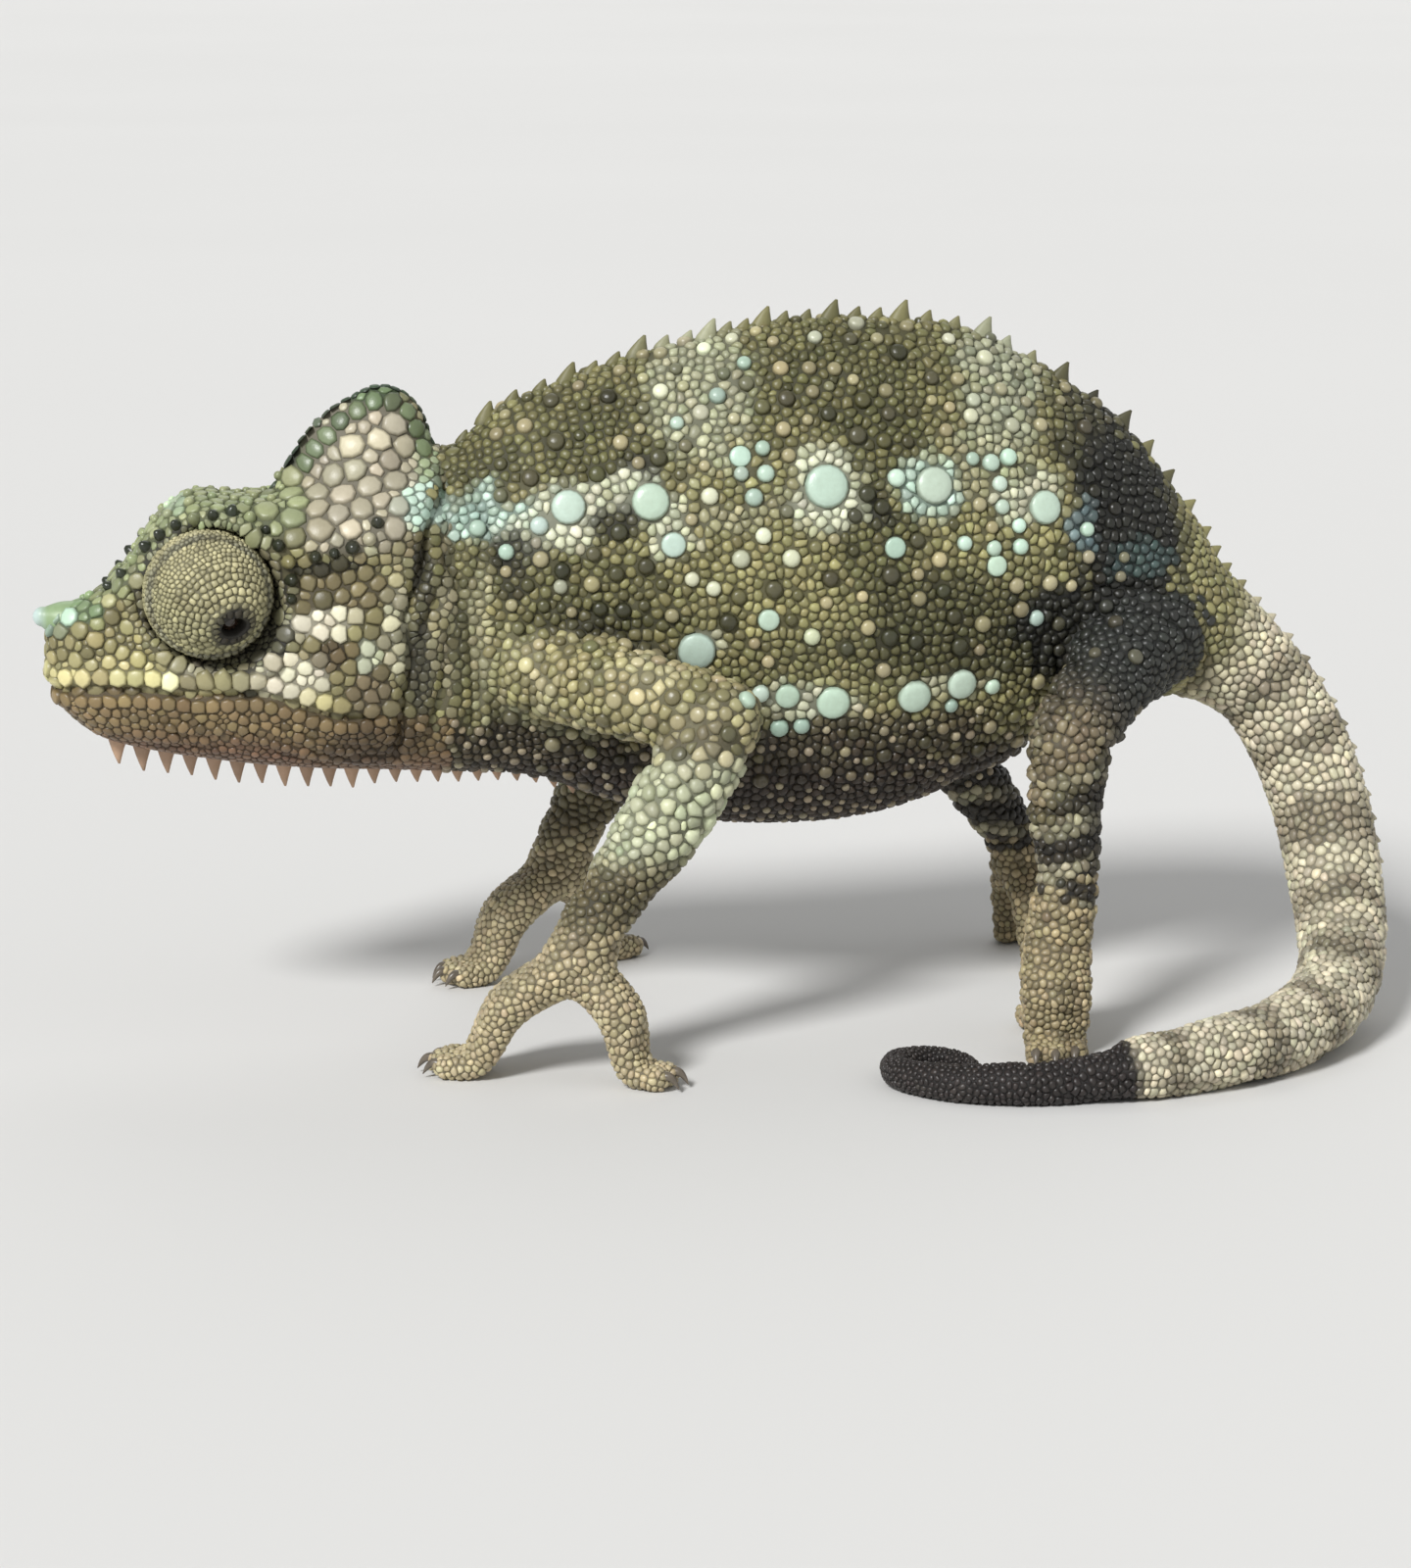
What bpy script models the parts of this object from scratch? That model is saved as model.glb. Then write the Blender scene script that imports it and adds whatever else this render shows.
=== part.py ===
"""A high-casqued chameleon at life size, standing on a flat floor.

Its head points to -X and its left side to -Y, with +Z up and the floor at Z = 0. Every size
below is in millimetres and is turned into metres as the meshes are made.
"""

import math

import bmesh
import bpy
import numpy as np
from mathutils import Vector
from mathutils.bvhtree import BVHTree

METRES = 0.001
GAP = 0.3

# The body stands a little off the middle of its own box, because the tail sweeps round its left side.
ORIGIN_SHIFT = (-1.08, 4.15, 0.0)

# The spine, from the nape to the tip of the tail: place, reach above, reach below, half width,
# and how sharply the back is keeled.
SPINE = (
    (-16.6, 0.0, 26.7, 10.4, 10.4, 4.8, 0.15),
    (-10.5, 0.0, 27.7, 12.4, 12.4, 5.8, 0.30),
    (-4.3, 0.0, 28.1, 14.4, 14.6, 6.6, 0.40),
    (2.5, 0.0, 28.3, 15.8, 15.9, 7.3, 0.45),
    (10.0, 0.0, 28.8, 16.0, 16.0, 7.5, 0.45),
    (17.4, 0.0, 29.0, 14.5, 14.0, 6.7, 0.45),
    (23.6, 0.0, 28.4, 10.4, 11.6, 5.3, 0.40),
    (27.6, 0.0, 26.9, 6.9, 9.0, 4.5, 0.35),
    (30.6, 0.0, 24.9, 4.9, 6.2, 3.9, 0.25),
    (33.6, 0.0, 22.9, 3.9, 3.9, 3.4, 0.10),
    (36.5, -0.1, 20.6, 3.2, 3.2, 3.1, 0.05),
    (38.8, -0.5, 17.2, 3.15, 3.15, 3.05, 0.0),
    (40.3, -1.6, 13.0, 3.1, 3.1, 3.05, 0.0),
    (40.6, -4.2, 8.7, 3.0, 3.0, 2.95, 0.0),
    (39.9, -8.3, 5.2, 2.8, 2.8, 2.75, 0.0),
    (38.0, -12.8, 3.3, 2.6, 2.6, 2.6, 0.0),
    (34.9, -17.0, 2.5, 2.45, 2.45, 2.45, 0.0),
    (30.7, -20.4, 2.15, 2.3, 2.3, 2.3, 0.0),
    (25.6, -22.7, 1.95, 2.1, 2.1, 2.1, 0.0),
    (22.4, -23.5, 1.8, 1.95, 1.95, 1.95, 0.0),
    (19.4, -23.9, 1.4, 1.5, 1.5, 1.5, 0.0),
    (14.2, -23.6, 1.22, 1.3, 1.3, 1.3, 0.0),
    (10.4, -21.9, 1.05, 1.12, 1.12, 1.12, 0.0),
    (8.4, -19.0, 0.93, 0.98, 0.98, 0.98, 0.0),
    (9.3, -16.2, 0.81, 0.86, 0.86, 0.86, 0.0),
    (11.8, -15.6, 0.70, 0.74, 0.74, 0.74, 0.0),
    (13.3, -17.5, 0.60, 0.64, 0.64, 0.64, 0.0),
    (12.3, -19.3, 0.52, 0.55, 0.55, 0.55, 0.0),
    (11.0, -18.6, 0.43, 0.46, 0.46, 0.46, 0.0),
)
# Which stretch of the spine each node is, by station, with how many rings and how many sides it has.
LENGTHS = (
    ("neck", 0.0, 1.0, 6, 36),
    ("torso", 1.0, 8.3, 26, 30),
    ("tail_base", 8.3, 11.0, 10, 16),
    ("tail_bend", 11.0, 14.0, 12, 16),
    ("tail_middle", 14.0, 17.0, 11, 14),
    ("tail_end", 17.0, 20.0, 10, 12),
    ("tail_tip", 20.0, 23.0, 10, 10),
    ("tail_coil", 23.0, 28.0, 18, 8),
)

# Lines that run along the left half of the head, each from the snout to the nape: (x, half width, z).
HEAD_LINES = {
    "chin": ((-40.6, 0, 21.6), (-39.6, 0, 20.4), (-38.0, 0, 19.3), (-35.5, 0, 18.5), (-32.0, 0, 17.9),
             (-28.5, 0, 17.4), (-24.0, 0, 16.9), (-16.6, 0, 16.3)),
    "throat": ((-40.6, 0.5, 21.7), (-38.0, 1.5, 19.7), (-35.0, 2.0, 18.9), (-31.0, 2.5, 18.2),
               (-25.0, 3.0, 17.6), (-20.0, 3.0, 17.5), (-16.6, 2.9, 17.8)),
    "jaw": ((-40.6, 0.9, 22.0), (-39.0, 2.2, 21.2), (-36.0, 3.0, 20.4), (-32.0, 3.8, 19.8),
            (-28.0, 4.4, 19.4), (-24.0, 4.9, 19.4), (-20.0, 4.9, 19.9), (-16.6, 4.3, 20.4)),
    "lip": ((-40.6, 1.1, 22.8), (-39.0, 2.6, 22.9), (-36.0, 3.7, 22.9), (-32.0, 4.6, 22.6),
            (-28.0, 5.2, 22.5), (-24.0, 5.6, 22.3), (-20.0, 5.4, 22.6), (-16.6, 4.8, 23.2)),
    "cheek": ((-40.6, 1.3, 24.4), (-39.0, 2.6, 24.6), (-36.0, 3.6, 24.9), (-32.0, 4.6, 25.0),
              (-28.0, 5.3, 25.2), (-24.0, 5.8, 25.2), (-20.0, 5.6, 25.4), (-16.6, 4.9, 26.2)),
    "socket": ((-40.6, 1.3, 26.0), (-39.0, 2.3, 26.6), (-36.0, 2.9, 27.6), (-33.5, 3.0, 28.6),
               (-31.0, 3.2, 28.8), (-28.0, 4.3, 28.6), (-24.0, 5.5, 28.3), (-20.0, 5.4, 28.6),
               (-16.6, 4.9, 29.4)),
    "temple": ((-40.6, 1.2, 26.7), (-38.5, 2.2, 27.4), (-36.4, 2.9, 28.5), (-35.0, 3.1, 29.9),
               (-33.5, 3.3, 31.0), (-31.0, 3.6, 31.6), (-28.0, 4.3, 30.6), (-24.0, 5.0, 29.9),
               (-21.0, 5.0, 30.6), (-16.6, 4.6, 31.5)),
    "brow": ((-40.6, 1.0, 27.2), (-38.5, 1.9, 27.9), (-36.4, 2.6, 29.2), (-35.0, 3.0, 31.0),
             (-33.5, 3.5, 32.5), (-31.0, 4.0, 33.3), (-29.0, 4.3, 33.0), (-27.0, 5.0, 31.6),
             (-24.0, 5.6, 31.2), (-21.0, 5.6, 32.1), (-16.6, 4.2, 33.4)),
    "crown_side": ((-40.6, 0.5, 27.5), (-38.5, 1.1, 28.2), (-36.4, 1.6, 29.7), (-35.0, 1.9, 31.9),
                   (-33.5, 2.2, 33.4), (-31.0, 2.5, 34.2), (-28.0, 3.2, 34.0), (-24.0, 3.6, 34.2),
                   (-20.0, 3.5, 35.0), (-16.6, 2.4, 35.9)),
    "crown": ((-40.6, 0, 27.5), (-38.5, 0, 28.3), (-36.9, 0, 29.3), (-35.4, 0, 31.5), (-34.2, 0, 33.3),
              (-33.0, 0, 34.2), (-31.0, 0, 34.7), (-28.0, 0, 34.6), (-24.0, 0, 35.4), (-20.0, 0, 36.4),
              (-16.6, 0, 37.1)),
}
HEAD_FRONT, HEAD_BACK = -40.6, -16.6
HEAD_RINGS = 27
SNOUT_ROUNDING = ((0.55, 0.35), (0.38, 0.72))  # step ahead of the front ring, and its share of the size

# The mouth: the lips' line in the side view, then down behind the jaw to the throat.
MOUTH_LINE = ((-44.0, 22.7), (-41.0, 22.7), (-36.0, 22.9), (-32.0, 22.6), (-28.1, 22.6), (-26.3, 22.0),
              (-23.9, 21.2), (-21.8, 21.0), (-20.4, 19.8), (-19.6, 17.8), (-19.2, 13.0))

# The casque, as slices up its height: (z, front x, back x, half thickness).
CASQUE = (
    (31.6, -28.6, -17.4, 4.3),
    (33.4, -28.2, -17.2, 3.9),
    (35.0, -27.6, -17.1, 3.3),
    (36.5, -26.7, -17.0, 2.75),
    (38.0, -25.7, -17.0, 2.15),
    (39.3, -24.5, -17.3, 1.6),
    (40.3, -23.0, -18.1, 1.1),
    (41.0, -21.6, -19.2, 0.6),
)
CASQUE_FULLEST = 0.62  # the slice's widest place, as a share of its length from the front

EYE_CENTRE = (-31.35, 3.45, 28.75)
EYE_RADIUS = 3.95
EYE_GAZE = (0.22, 0.94, -0.24)
EYE_BACK = -1.1  # the turret is cut off flat this far behind its centre
EYE_SLIT_RADIUS = 0.62
PUPIL_RADIUS = 0.66

NOSTRIL = (-38.6, 1.9, 25.9)
HORN_BASE, HORN_TIP = (-39.4, 0.0, 26.3), (-41.3, 0.0, 27.0)

# Limbs, as lines of (x, y, z, radius). Those of the left side have the -Y of the animal.
LIMBS = {
    "left_upper_arm": ((-12.6, -2.6, 23.8, 3.1), (-6.5, -7.6, 22.6, 2.85), (-0.9, -10.8, 21.4, 2.6)),
    "left_forearm": ((-0.9, -10.8, 21.0, 2.6), (-4.0, -11.8, 16.4, 2.75), (-8.3, -12.9, 10.6, 2.1)),
    "left_thigh": ((28.4, -2.2, 24.4, 4.0), (24.8, -6.6, 22.6, 3.1), (21.2, -10.4, 19.6, 2.5)),
    "left_shin": ((21.2, -10.4, 19.2, 2.5), (20.7, -11.2, 15.0, 2.35), (20.8, -12.0, 10.4, 1.95)),
    "right_upper_arm": ((-12.6, 2.6, 23.8, 3.1), (-7.2, 7.6, 21.8, 2.85), (-2.6, 10.6, 19.6, 2.6)),
    "right_forearm": ((-2.6, 10.6, 19.2, 2.6), (-4.6, 11.2, 14.8, 2.6), (-6.9, 11.9, 9.9, 2.1)),
    "right_thigh": ((28.0, 2.2, 24.0, 4.0), (22.8, 6.6, 20.8, 3.1), (17.6, 9.8, 16.6, 2.5)),
    "right_shin": ((17.6, 9.8, 16.2, 2.5), (20.2, 10.4, 12.4, 2.3), (22.9, 10.9, 8.6, 1.95)),
}
# The palms and soles that the toes spread from.
PALMS = {
    "left_forefoot": ((-8.9, -13.1, 9.9, 2.2), (-10.4, -13.7, 7.3, 2.2)),
    "left_hindfoot": ((20.5, -12.1, 9.6, 2.2), (20.0, -12.3, 7.2, 2.3)),
    "right_forefoot": ((-7.2, 12.1, 9.2, 2.2), (-7.9, 12.3, 7.0, 2.2)),
    "right_hindfoot": ((23.4, 11.1, 7.9, 2.2), (23.8, 11.2, 6.4, 2.2)),
}
# Each bundle of toes: the palm it grows from, its tip on the floor, how many toes it has, and the
# direction in which they lie side by side.
TOES = {
    "left_fore_inner_toes": ("left_forefoot", (-18.4, -11.2), 3, (0.25, 1.0)),
    "left_fore_outer_toes": ("left_forefoot", (-5.4, -17.0), 2, (0.6, 0.8)),
    "left_hind_inner_toes": ("left_hindfoot", (20.2, -6.6), 2, (1.0, 0.1)),
    "left_hind_outer_toes": ("left_hindfoot", (18.9, -16.4), 3, (1.0, 0.0)),
    "right_fore_inner_toes": ("right_forefoot", (-15.4, 9.6), 3, (0.25, -1.0)),
    "right_fore_outer_toes": ("right_forefoot", (-2.6, 15.4), 2, (0.6, -0.8)),
    "right_hind_inner_toes": ("right_hindfoot", (24.6, 5.8), 2, (1.0, -0.1)),
    "right_hind_outer_toes": ("right_hindfoot", (25.2, 15.6), 3, (1.0, 0.0)),
}
LIMB_RINGS, LIMB_SIDES, PALM_SIDES = 6, 12, 9
TOE_ROOT_RADIUS, TOE_TIP_RADIUS = 1.5, 0.85
TOE_SPREAD = 1.35  # between the middles of neighbouring toes
TOE_FLAT = 1.3  # the length of each toe's pad that lies on the floor
CLAW_LENGTH, CLAW_RADIUS = 1.5, 0.42

# The largest round scales of the flank: (x, z, radius), on both sides.
FLANK_SCALES = (
    (-9.4, 33.7, 1.1), (-4.4, 34.0, 1.2), (6.4, 34.8, 1.4), (13.2, 34.7, 1.2), (20.5, 33.0, 1.1),
    (-1.7, 24.8, 1.2), (6.9, 21.3, 1.1), (4.0, 21.8, 0.8), (12.1, 21.5, 1.1), (15.2, 22.1, 1.0),
    (-3.1, 31.4, 0.8), (2.7, 26.7, 0.7), (1.2, 36.6, 0.7), (10.6, 31.0, 0.7), (17.2, 29.6, 0.7),
)

COLOURS = {
    "skin_olive": (0.24, 0.24, 0.16),
    "skin_pale": (0.55, 0.54, 0.44),
    "skin_green": (0.36, 0.41, 0.24),
    "throat_rose": (0.45, 0.33, 0.25),
    "eye_lid": (0.25, 0.25, 0.20),
    "eye_dark": (0.02, 0.015, 0.012),
    "horn_blue": (0.55, 0.66, 0.58),
}


def start_empty():
    for obj in list(bpy.data.objects):
        bpy.data.objects.remove(obj)
    for name in ("chameleon", "pieces"):
        group = bpy.data.collections.new(name)
        bpy.context.scene.collection.children.link(group)
    bpy.data.collections["pieces"].hide_render = True


def finish(name):
    """The Principled material of this name, made once."""
    if name in bpy.data.materials:
        return bpy.data.materials[name]
    material = bpy.data.materials.new(name)
    material.use_nodes = True
    shader = material.node_tree.nodes["Principled BSDF"]
    shader.inputs["Base Color"].default_value = (*COLOURS[name], 1.0)
    shader.inputs["Roughness"].default_value = 0.15 if name == "eye_dark" else 0.6
    shader.inputs["Metallic"].default_value = 0.0
    return material


# Smooth lines and swept shapes


def smooth(stations, places):
    """Points on the smooth curve through the stations; a place is a station's number, or lies between two."""
    table = np.asarray(stations, float)
    places = np.clip(np.asarray(places, float), 0, len(table) - 1)
    steps = np.linalg.norm(np.diff(table[:, :3], axis=0), axis=1)[:, None]
    slopes = np.diff(table, axis=0) / steps
    tangents = np.empty_like(table)
    tangents[0], tangents[-1] = slopes[0], slopes[-1]
    tangents[1:-1] = (slopes[:-1] * steps[1:] + slopes[1:] * steps[:-1]) / (steps[:-1] + steps[1:])
    i = np.minimum(places.astype(int), len(table) - 2)
    t = (places - i)[:, None]
    h = steps[i]
    return ((2 * t**3 - 3 * t**2 + 1) * table[i] + (t**3 - 2 * t**2 + t) * h * tangents[i]
            + (3 * t**2 - 2 * t**3) * table[i + 1] + (t**3 - t**2) * h * tangents[i + 1])


def unit(v):
    return v / np.linalg.norm(v, axis=-1, keepdims=True)


def frames(centres, first_up=(0.0, 0.0, 1.0)):
    """Along, up and side directions at each centre, turned from ring to ring without a twist."""
    along = unit(np.gradient(centres, axis=0))
    up = np.empty_like(along)
    up[0] = unit(np.array(first_up) - along[0] * (along[0] @ np.array(first_up)))
    for i in range(1, len(along)):
        up[i] = unit(up[i - 1] - along[i] * (up[i - 1] @ along[i]))
    return along, up, np.cross(along, up)


def ring_shape(above, below, half, keel, sides):
    """One cross-section, as (side, up) places: rounded below and drawn to a keel above."""
    turn = 0.0 if sides > 20 else 0.5  # the tail's rings have a side underneath, to lie flat on
    angle = 2 * math.pi * (np.arange(sides) + turn) / sides - math.pi / 2
    across, rise = np.cos(angle), np.sin(angle)
    power = np.where(rise > 0, 1 + keel, 1.0)
    side = half * np.sign(across) * np.abs(across) ** power
    return side, np.where(rise > 0, above, below) * rise


SPINE_MARGIN = 1.0  # no cone of the crest stands nearer than this to the end of its node
SPINE_STEPS = 12  # frames are carried along the spine at this many places for each station


def spine_frames():
    places = np.arange(0, len(SPINE) - 1 + 1e-9, 1 / SPINE_STEPS)
    table = smooth(SPINE, places)
    return places, table, frames(table[:, :3])


def spine_rings(start, stop, count, sides, grow=0.0):
    """The rings of one length of the spine, each square to it."""
    places, _, (along, up, side) = spine_frames()
    wanted = np.linspace(start, stop, count)
    table = smooth(SPINE, wanted)
    rings = []
    for place, row in zip(wanted, table):
        lift, across = (unit(np.array([np.interp(place, places, d[:, k]) for k in range(3)]))
                        for d in (up, side))
        offset, rise = ring_shape(row[3] + grow, row[4] + grow, row[5] + grow, row[6], sides)
        rings.append(row[:3] + offset[:, None] * across + rise[:, None] * lift)
    return np.array(rings)


def limb_rings(line, count, sides, grow=0.0):
    """A round limb along a line of (x, y, z, radius), with rounded ends."""
    table = smooth(line, np.linspace(0, len(line) - 1, count))
    centres, radii = table[:, :3], table[:, 3] + grow
    _, up, side = frames(centres, (0.3, 0.2, 1.0))
    first, last = unit(centres[0] - centres[1]), unit(centres[-1] - centres[-2])
    angle = 2 * math.pi * np.arange(sides) / sides
    circle = lambda c, r, u, s: c + r * (np.cos(angle)[:, None] * s + np.sin(angle)[:, None] * u)
    rings = []
    for turn in (65, 33):
        reach, share = math.sin(math.radians(turn)), math.cos(math.radians(turn))
        rings.append(circle(centres[0] + first * radii[0] * reach, radii[0] * share, up[0], side[0]))
    for c, r, u, s in zip(centres, radii, up, side):
        rings.append(circle(c, r, u, s))
    for turn in (33, 65):
        reach, share = math.sin(math.radians(turn)), math.cos(math.radians(turn))
        rings.append(circle(centres[-1] + last * radii[-1] * reach, radii[-1] * share, up[-1], side[-1]))
    return np.array(rings)


def head_rings(count, grow=0.0):
    """The head's rings from the snout back, each through the head's lines at one x."""
    lines = [np.array(points, float) for points in HEAD_LINES.values()]
    share = np.linspace(0, 1, count)
    xs = HEAD_FRONT + (HEAD_BACK - HEAD_FRONT) * share
    rings = []
    for x in xs:
        marks = []
        for line in lines:
            place = np.interp(x, line[:, 0], np.arange(len(line)))
            marks.append(smooth(line, [place])[0, 1:])
        half = smooth(np.column_stack([np.array(marks), np.zeros(len(marks))]),
                      np.arange(0, len(marks) - 0.5, 0.5))[:, :2]
        half[0, 0] = half[-1, 0] = 0.0
        middle = half[:, 1].mean()
        out = unit(np.column_stack([half[:, 0], half[:, 1] - middle]))
        half = half + grow * out
        half[0, 0] = half[-1, 0] = 0.0
        left, right = half[::1] * (-1, 1), half[-2:0:-1]
        ring = np.vstack([left, right])
        rings.append(np.column_stack([np.full(len(ring), x), ring]))
    front = rings[0]
    centre = front.mean(axis=0)
    for ahead, share in SNOUT_ROUNDING[::-1]:
        ring = centre + (front - centre) * share
        ring[:, 0] -= ahead
        rings.insert(0, ring)
    return np.array(rings)


def casque_rings(levels, sides):
    """The casque's slices: a drop shape that is narrow in front and full behind."""
    table = np.array(CASQUE, float)
    power = math.log(0.5) / math.log(CASQUE_FULLEST)
    rings = []
    for place in np.linspace(0, len(table) - 1, levels):
        z, front, back, half = smooth(table, [place])[0]
        share = (1 - np.cos(math.pi * np.arange(sides + 1) / sides)) / 2
        width = half * np.sin(math.pi * share**power).clip(0, 1) ** 0.75
        x = front + (back - front) * share
        left = np.column_stack([x, -width, np.full_like(x, z)])
        right = np.column_stack([x, width, np.full_like(x, z)])[-2:0:-1]
        rings.append(np.vstack([left, right]))
    return np.array(rings)


def turned_rings(profile, centre, axis, sides, grow=0.0):
    """A turned shape: a profile of (along the axis, radius) set on a centre."""
    axis = unit(np.array(axis, float))
    side = unit(np.cross(axis, (0.0, 0.0, 1.0)))
    up = np.cross(side, axis)
    angle = 2 * math.pi * np.arange(sides) / sides
    rings = [np.array(centre) + axis * along
             + (radius + grow) * (np.cos(angle)[:, None] * side + np.sin(angle)[:, None] * up)
             for along, radius in profile]
    return np.array(rings)


def solid(name, rings, material=None, on_floor=False):
    """A closed mesh object through the rings, with a fan at each end."""
    rings = np.array(rings)
    if on_floor:
        rings[..., 2] = np.maximum(rings[..., 2], 0.0)
    count, sides = rings.shape[:2]
    points = np.vstack([rings.reshape(-1, 3), rings[0].mean(axis=0), rings[-1].mean(axis=0)])
    points[:, :2] += ORIGIN_SHIFT[:2]
    mesh = bmesh.new()
    verts = [mesh.verts.new(Vector(p) * METRES) for p in points]
    first, last = verts[-2], verts[-1]
    for j in range(sides):
        k = (j + 1) % sides
        for i in range(count - 1):
            mesh.faces.new((verts[i * sides + j], verts[i * sides + k],
                            verts[(i + 1) * sides + k], verts[(i + 1) * sides + j]))
        mesh.faces.new((verts[k], verts[j], first))
        mesh.faces.new((verts[(count - 1) * sides + j], verts[(count - 1) * sides + k], last))
    bmesh.ops.remove_doubles(mesh, verts=mesh.verts, dist=0.005 * METRES)
    bmesh.ops.recalc_face_normals(mesh, faces=mesh.faces)
    return linked(name, mesh, material, rounded=True)


def linked(name, mesh, material=None, rounded=False):
    data = bpy.data.meshes.new(name)
    mesh.to_mesh(data)
    mesh.free()
    if rounded:
        data.shade_smooth()
    obj = bpy.data.objects.new(name, data)
    bpy.data.collections["chameleon" if material else "pieces"].objects.link(obj)
    if material:
        data.materials.append(finish(material))
    return obj


def spike(base, direction, length, radius, sides=5, flatten=1.0, across=(0.0, 1.0, 0.0)):
    """A cone from a sunk base to its tip, pressed flatter along one direction."""
    mesh = bmesh.new()
    sink = 0.2 * length + 0.25
    bmesh.ops.create_cone(mesh, cap_ends=True, segments=sides, radius1=radius * (1 + sink / length),
                          radius2=0.06, depth=length + sink)
    bmesh.ops.translate(mesh, verts=mesh.verts, vec=(0, 0, (length - sink) / 2))
    axis = Vector(direction).normalized()
    turn = axis.to_track_quat("Z", "Y").to_matrix()
    flat = Vector(across).normalized()
    for vert in mesh.verts:
        place = turn @ vert.co
        place -= flat * (place.dot(flat) * (1 - flatten))
        vert.co = (place + Vector(base) + Vector(ORIGIN_SHIFT)) * METRES
    return linked("spike", mesh)


def disc(base, direction, radius, height, sides=6):
    """A low round scale with a bevelled edge, sunk into the skin."""
    mesh = bmesh.new()
    sink = 0.5
    bmesh.ops.create_cone(mesh, cap_ends=True, segments=sides, radius1=radius * 1.06,
                          radius2=radius * 0.7, depth=height + sink)
    bmesh.ops.translate(mesh, verts=mesh.verts, vec=(0, 0, (height - sink) / 2))
    turn = Vector(direction).to_track_quat("Z", "Y").to_matrix()
    for vert in mesh.verts:
        vert.co = (turn @ vert.co + Vector(base) + Vector(ORIGIN_SHIFT)) * METRES
    return linked("disc", mesh)


# Joining and cutting


def boolean(obj, others, operation, solver="EXACT"):
    """Joins the others to obj, or cuts them from it, and removes them."""
    if not others:
        return
    group = bpy.data.collections.new("operands")
    bpy.context.scene.collection.children.link(group)
    for other in others:
        for holder in list(other.users_collection):
            holder.objects.unlink(other)
        group.objects.link(other)
    modifier = obj.modifiers.new("join", "BOOLEAN")
    modifier.operation = operation
    modifier.solver = solver
    modifier.operand_type = "COLLECTION"
    modifier.collection = group
    bpy.context.view_layer.update()
    graph = bpy.context.evaluated_depsgraph_get()
    made = bpy.data.meshes.new_from_object(obj.evaluated_get(graph))
    obj.modifiers.clear()
    obj.data = made
    for other in others:
        bpy.data.objects.remove(other)
    bpy.data.collections.remove(group)


def surfaces(obj):
    """The closed surfaces of a mesh object, largest first, as lists of face numbers."""
    mesh = bmesh.new()
    mesh.from_mesh(obj.data)
    seen, found = set(), []
    for start in mesh.faces:
        if start.index in seen:
            continue
        stack, members, volume = [start], [], 0.0
        seen.add(start.index)
        while stack:
            face = stack.pop()
            members.append(face.index)
            centre = face.calc_center_median()
            volume += centre.dot(face.normal) * face.calc_area() / 3
            for edge in face.edges:
                for other in edge.link_faces:
                    if other.index not in seen:
                        seen.add(other.index)
                        stack.append(other)
        found.append((volume, members))
    mesh.free()
    return [members for _, members in sorted(found, key=lambda item: -item[0])]


def keep_surface(obj, members):
    mesh = bmesh.new()
    mesh.from_mesh(obj.data)
    mesh.faces.ensure_lookup_table()
    wanted = set(members)
    bmesh.ops.delete(mesh, geom=[f for f in mesh.faces if f.index not in wanted], context="FACES")
    bmesh.ops.delete(mesh, geom=[v for v in mesh.verts if not v.link_faces], context="VERTS")
    mesh.to_mesh(obj.data)
    mesh.free()


def keep_largest(obj):
    keep_surface(obj, surfaces(obj)[0])


def join(obj, pieces):
    boolean(obj, pieces, "UNION", "MANIFOLD")
    keep_largest(obj)


def cut(obj, cutters):
    boolean(obj, cutters, "DIFFERENCE", "MANIFOLD")
    keep_largest(obj)


# The skin's own surface, for setting scales and spines on it


def surface_tree(rings):
    count, sides = rings.shape[:2]
    faces = [(i * sides + j, i * sides + (j + 1) % sides, (i + 1) * sides + (j + 1) % sides, (i + 1) * sides + j)
             for i in range(count - 1) for j in range(sides)]
    return BVHTree.FromPolygons([Vector(p) for p in rings.reshape(-1, 3)], faces)


def on_side(tree, x, z, side):
    """Where the flank lies at this x and z, with its outward direction. side is -1 on the left."""
    hit, normal, _, _ = tree.ray_cast(Vector((x, 40.0 * side, z)), Vector((0, -side, 0)))
    if hit is None:
        return None, None
    return hit, normal if normal.y * side > 0 else -normal


# The pieces of the animal


def dorsal_spines(start, stop, tree):
    """The crest's cones along one stretch of the spine: every third is tall on the back."""
    places, table, (along, up, side) = spine_frames()
    distance = np.concatenate([[0], np.cumsum(np.linalg.norm(np.diff(table[:, :3], axis=0), axis=1))])
    made = []
    at, number = 3.2, 0
    end = np.interp(13.0, places, distance)
    while at < end:
        place = np.interp(at, distance, places)
        on_back = np.interp(place, (0, 1.0, 5.5, 7.0, 8.5, 13.0), (0.7, 1.0, 1.0, 0.6, 0.45, 0.25))
        tall = number % 3 == 1 or place > 6.0
        height = (1.2 if tall else 0.65) * on_back
        room = np.interp(at + SPINE_MARGIN, distance, places) - place
        if start <= place < stop:
            place = min(max(place, start + room), stop - room)
            row, lift, across, ahead = (np.array([np.interp(place, places, d[:, k]) for k in range(3)])
                                        for d in (table, up, side, along))
            reach = np.interp(place, places, table[:, 3])
            over = Vector(row + unit(lift) * (reach + 3.0))
            hit = tree.ray_cast(over, Vector(-unit(lift)))[0]
            base = (hit if hit else over) + Vector(unit(lift)) * -0.05
            lean = unit(lift) + 0.25 * unit(ahead)
            made.append(spike(base, lean, height, 0.34 + 0.3 * height, 5, 0.62, across))
        at += 1.4
        number += 1
    return made


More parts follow.
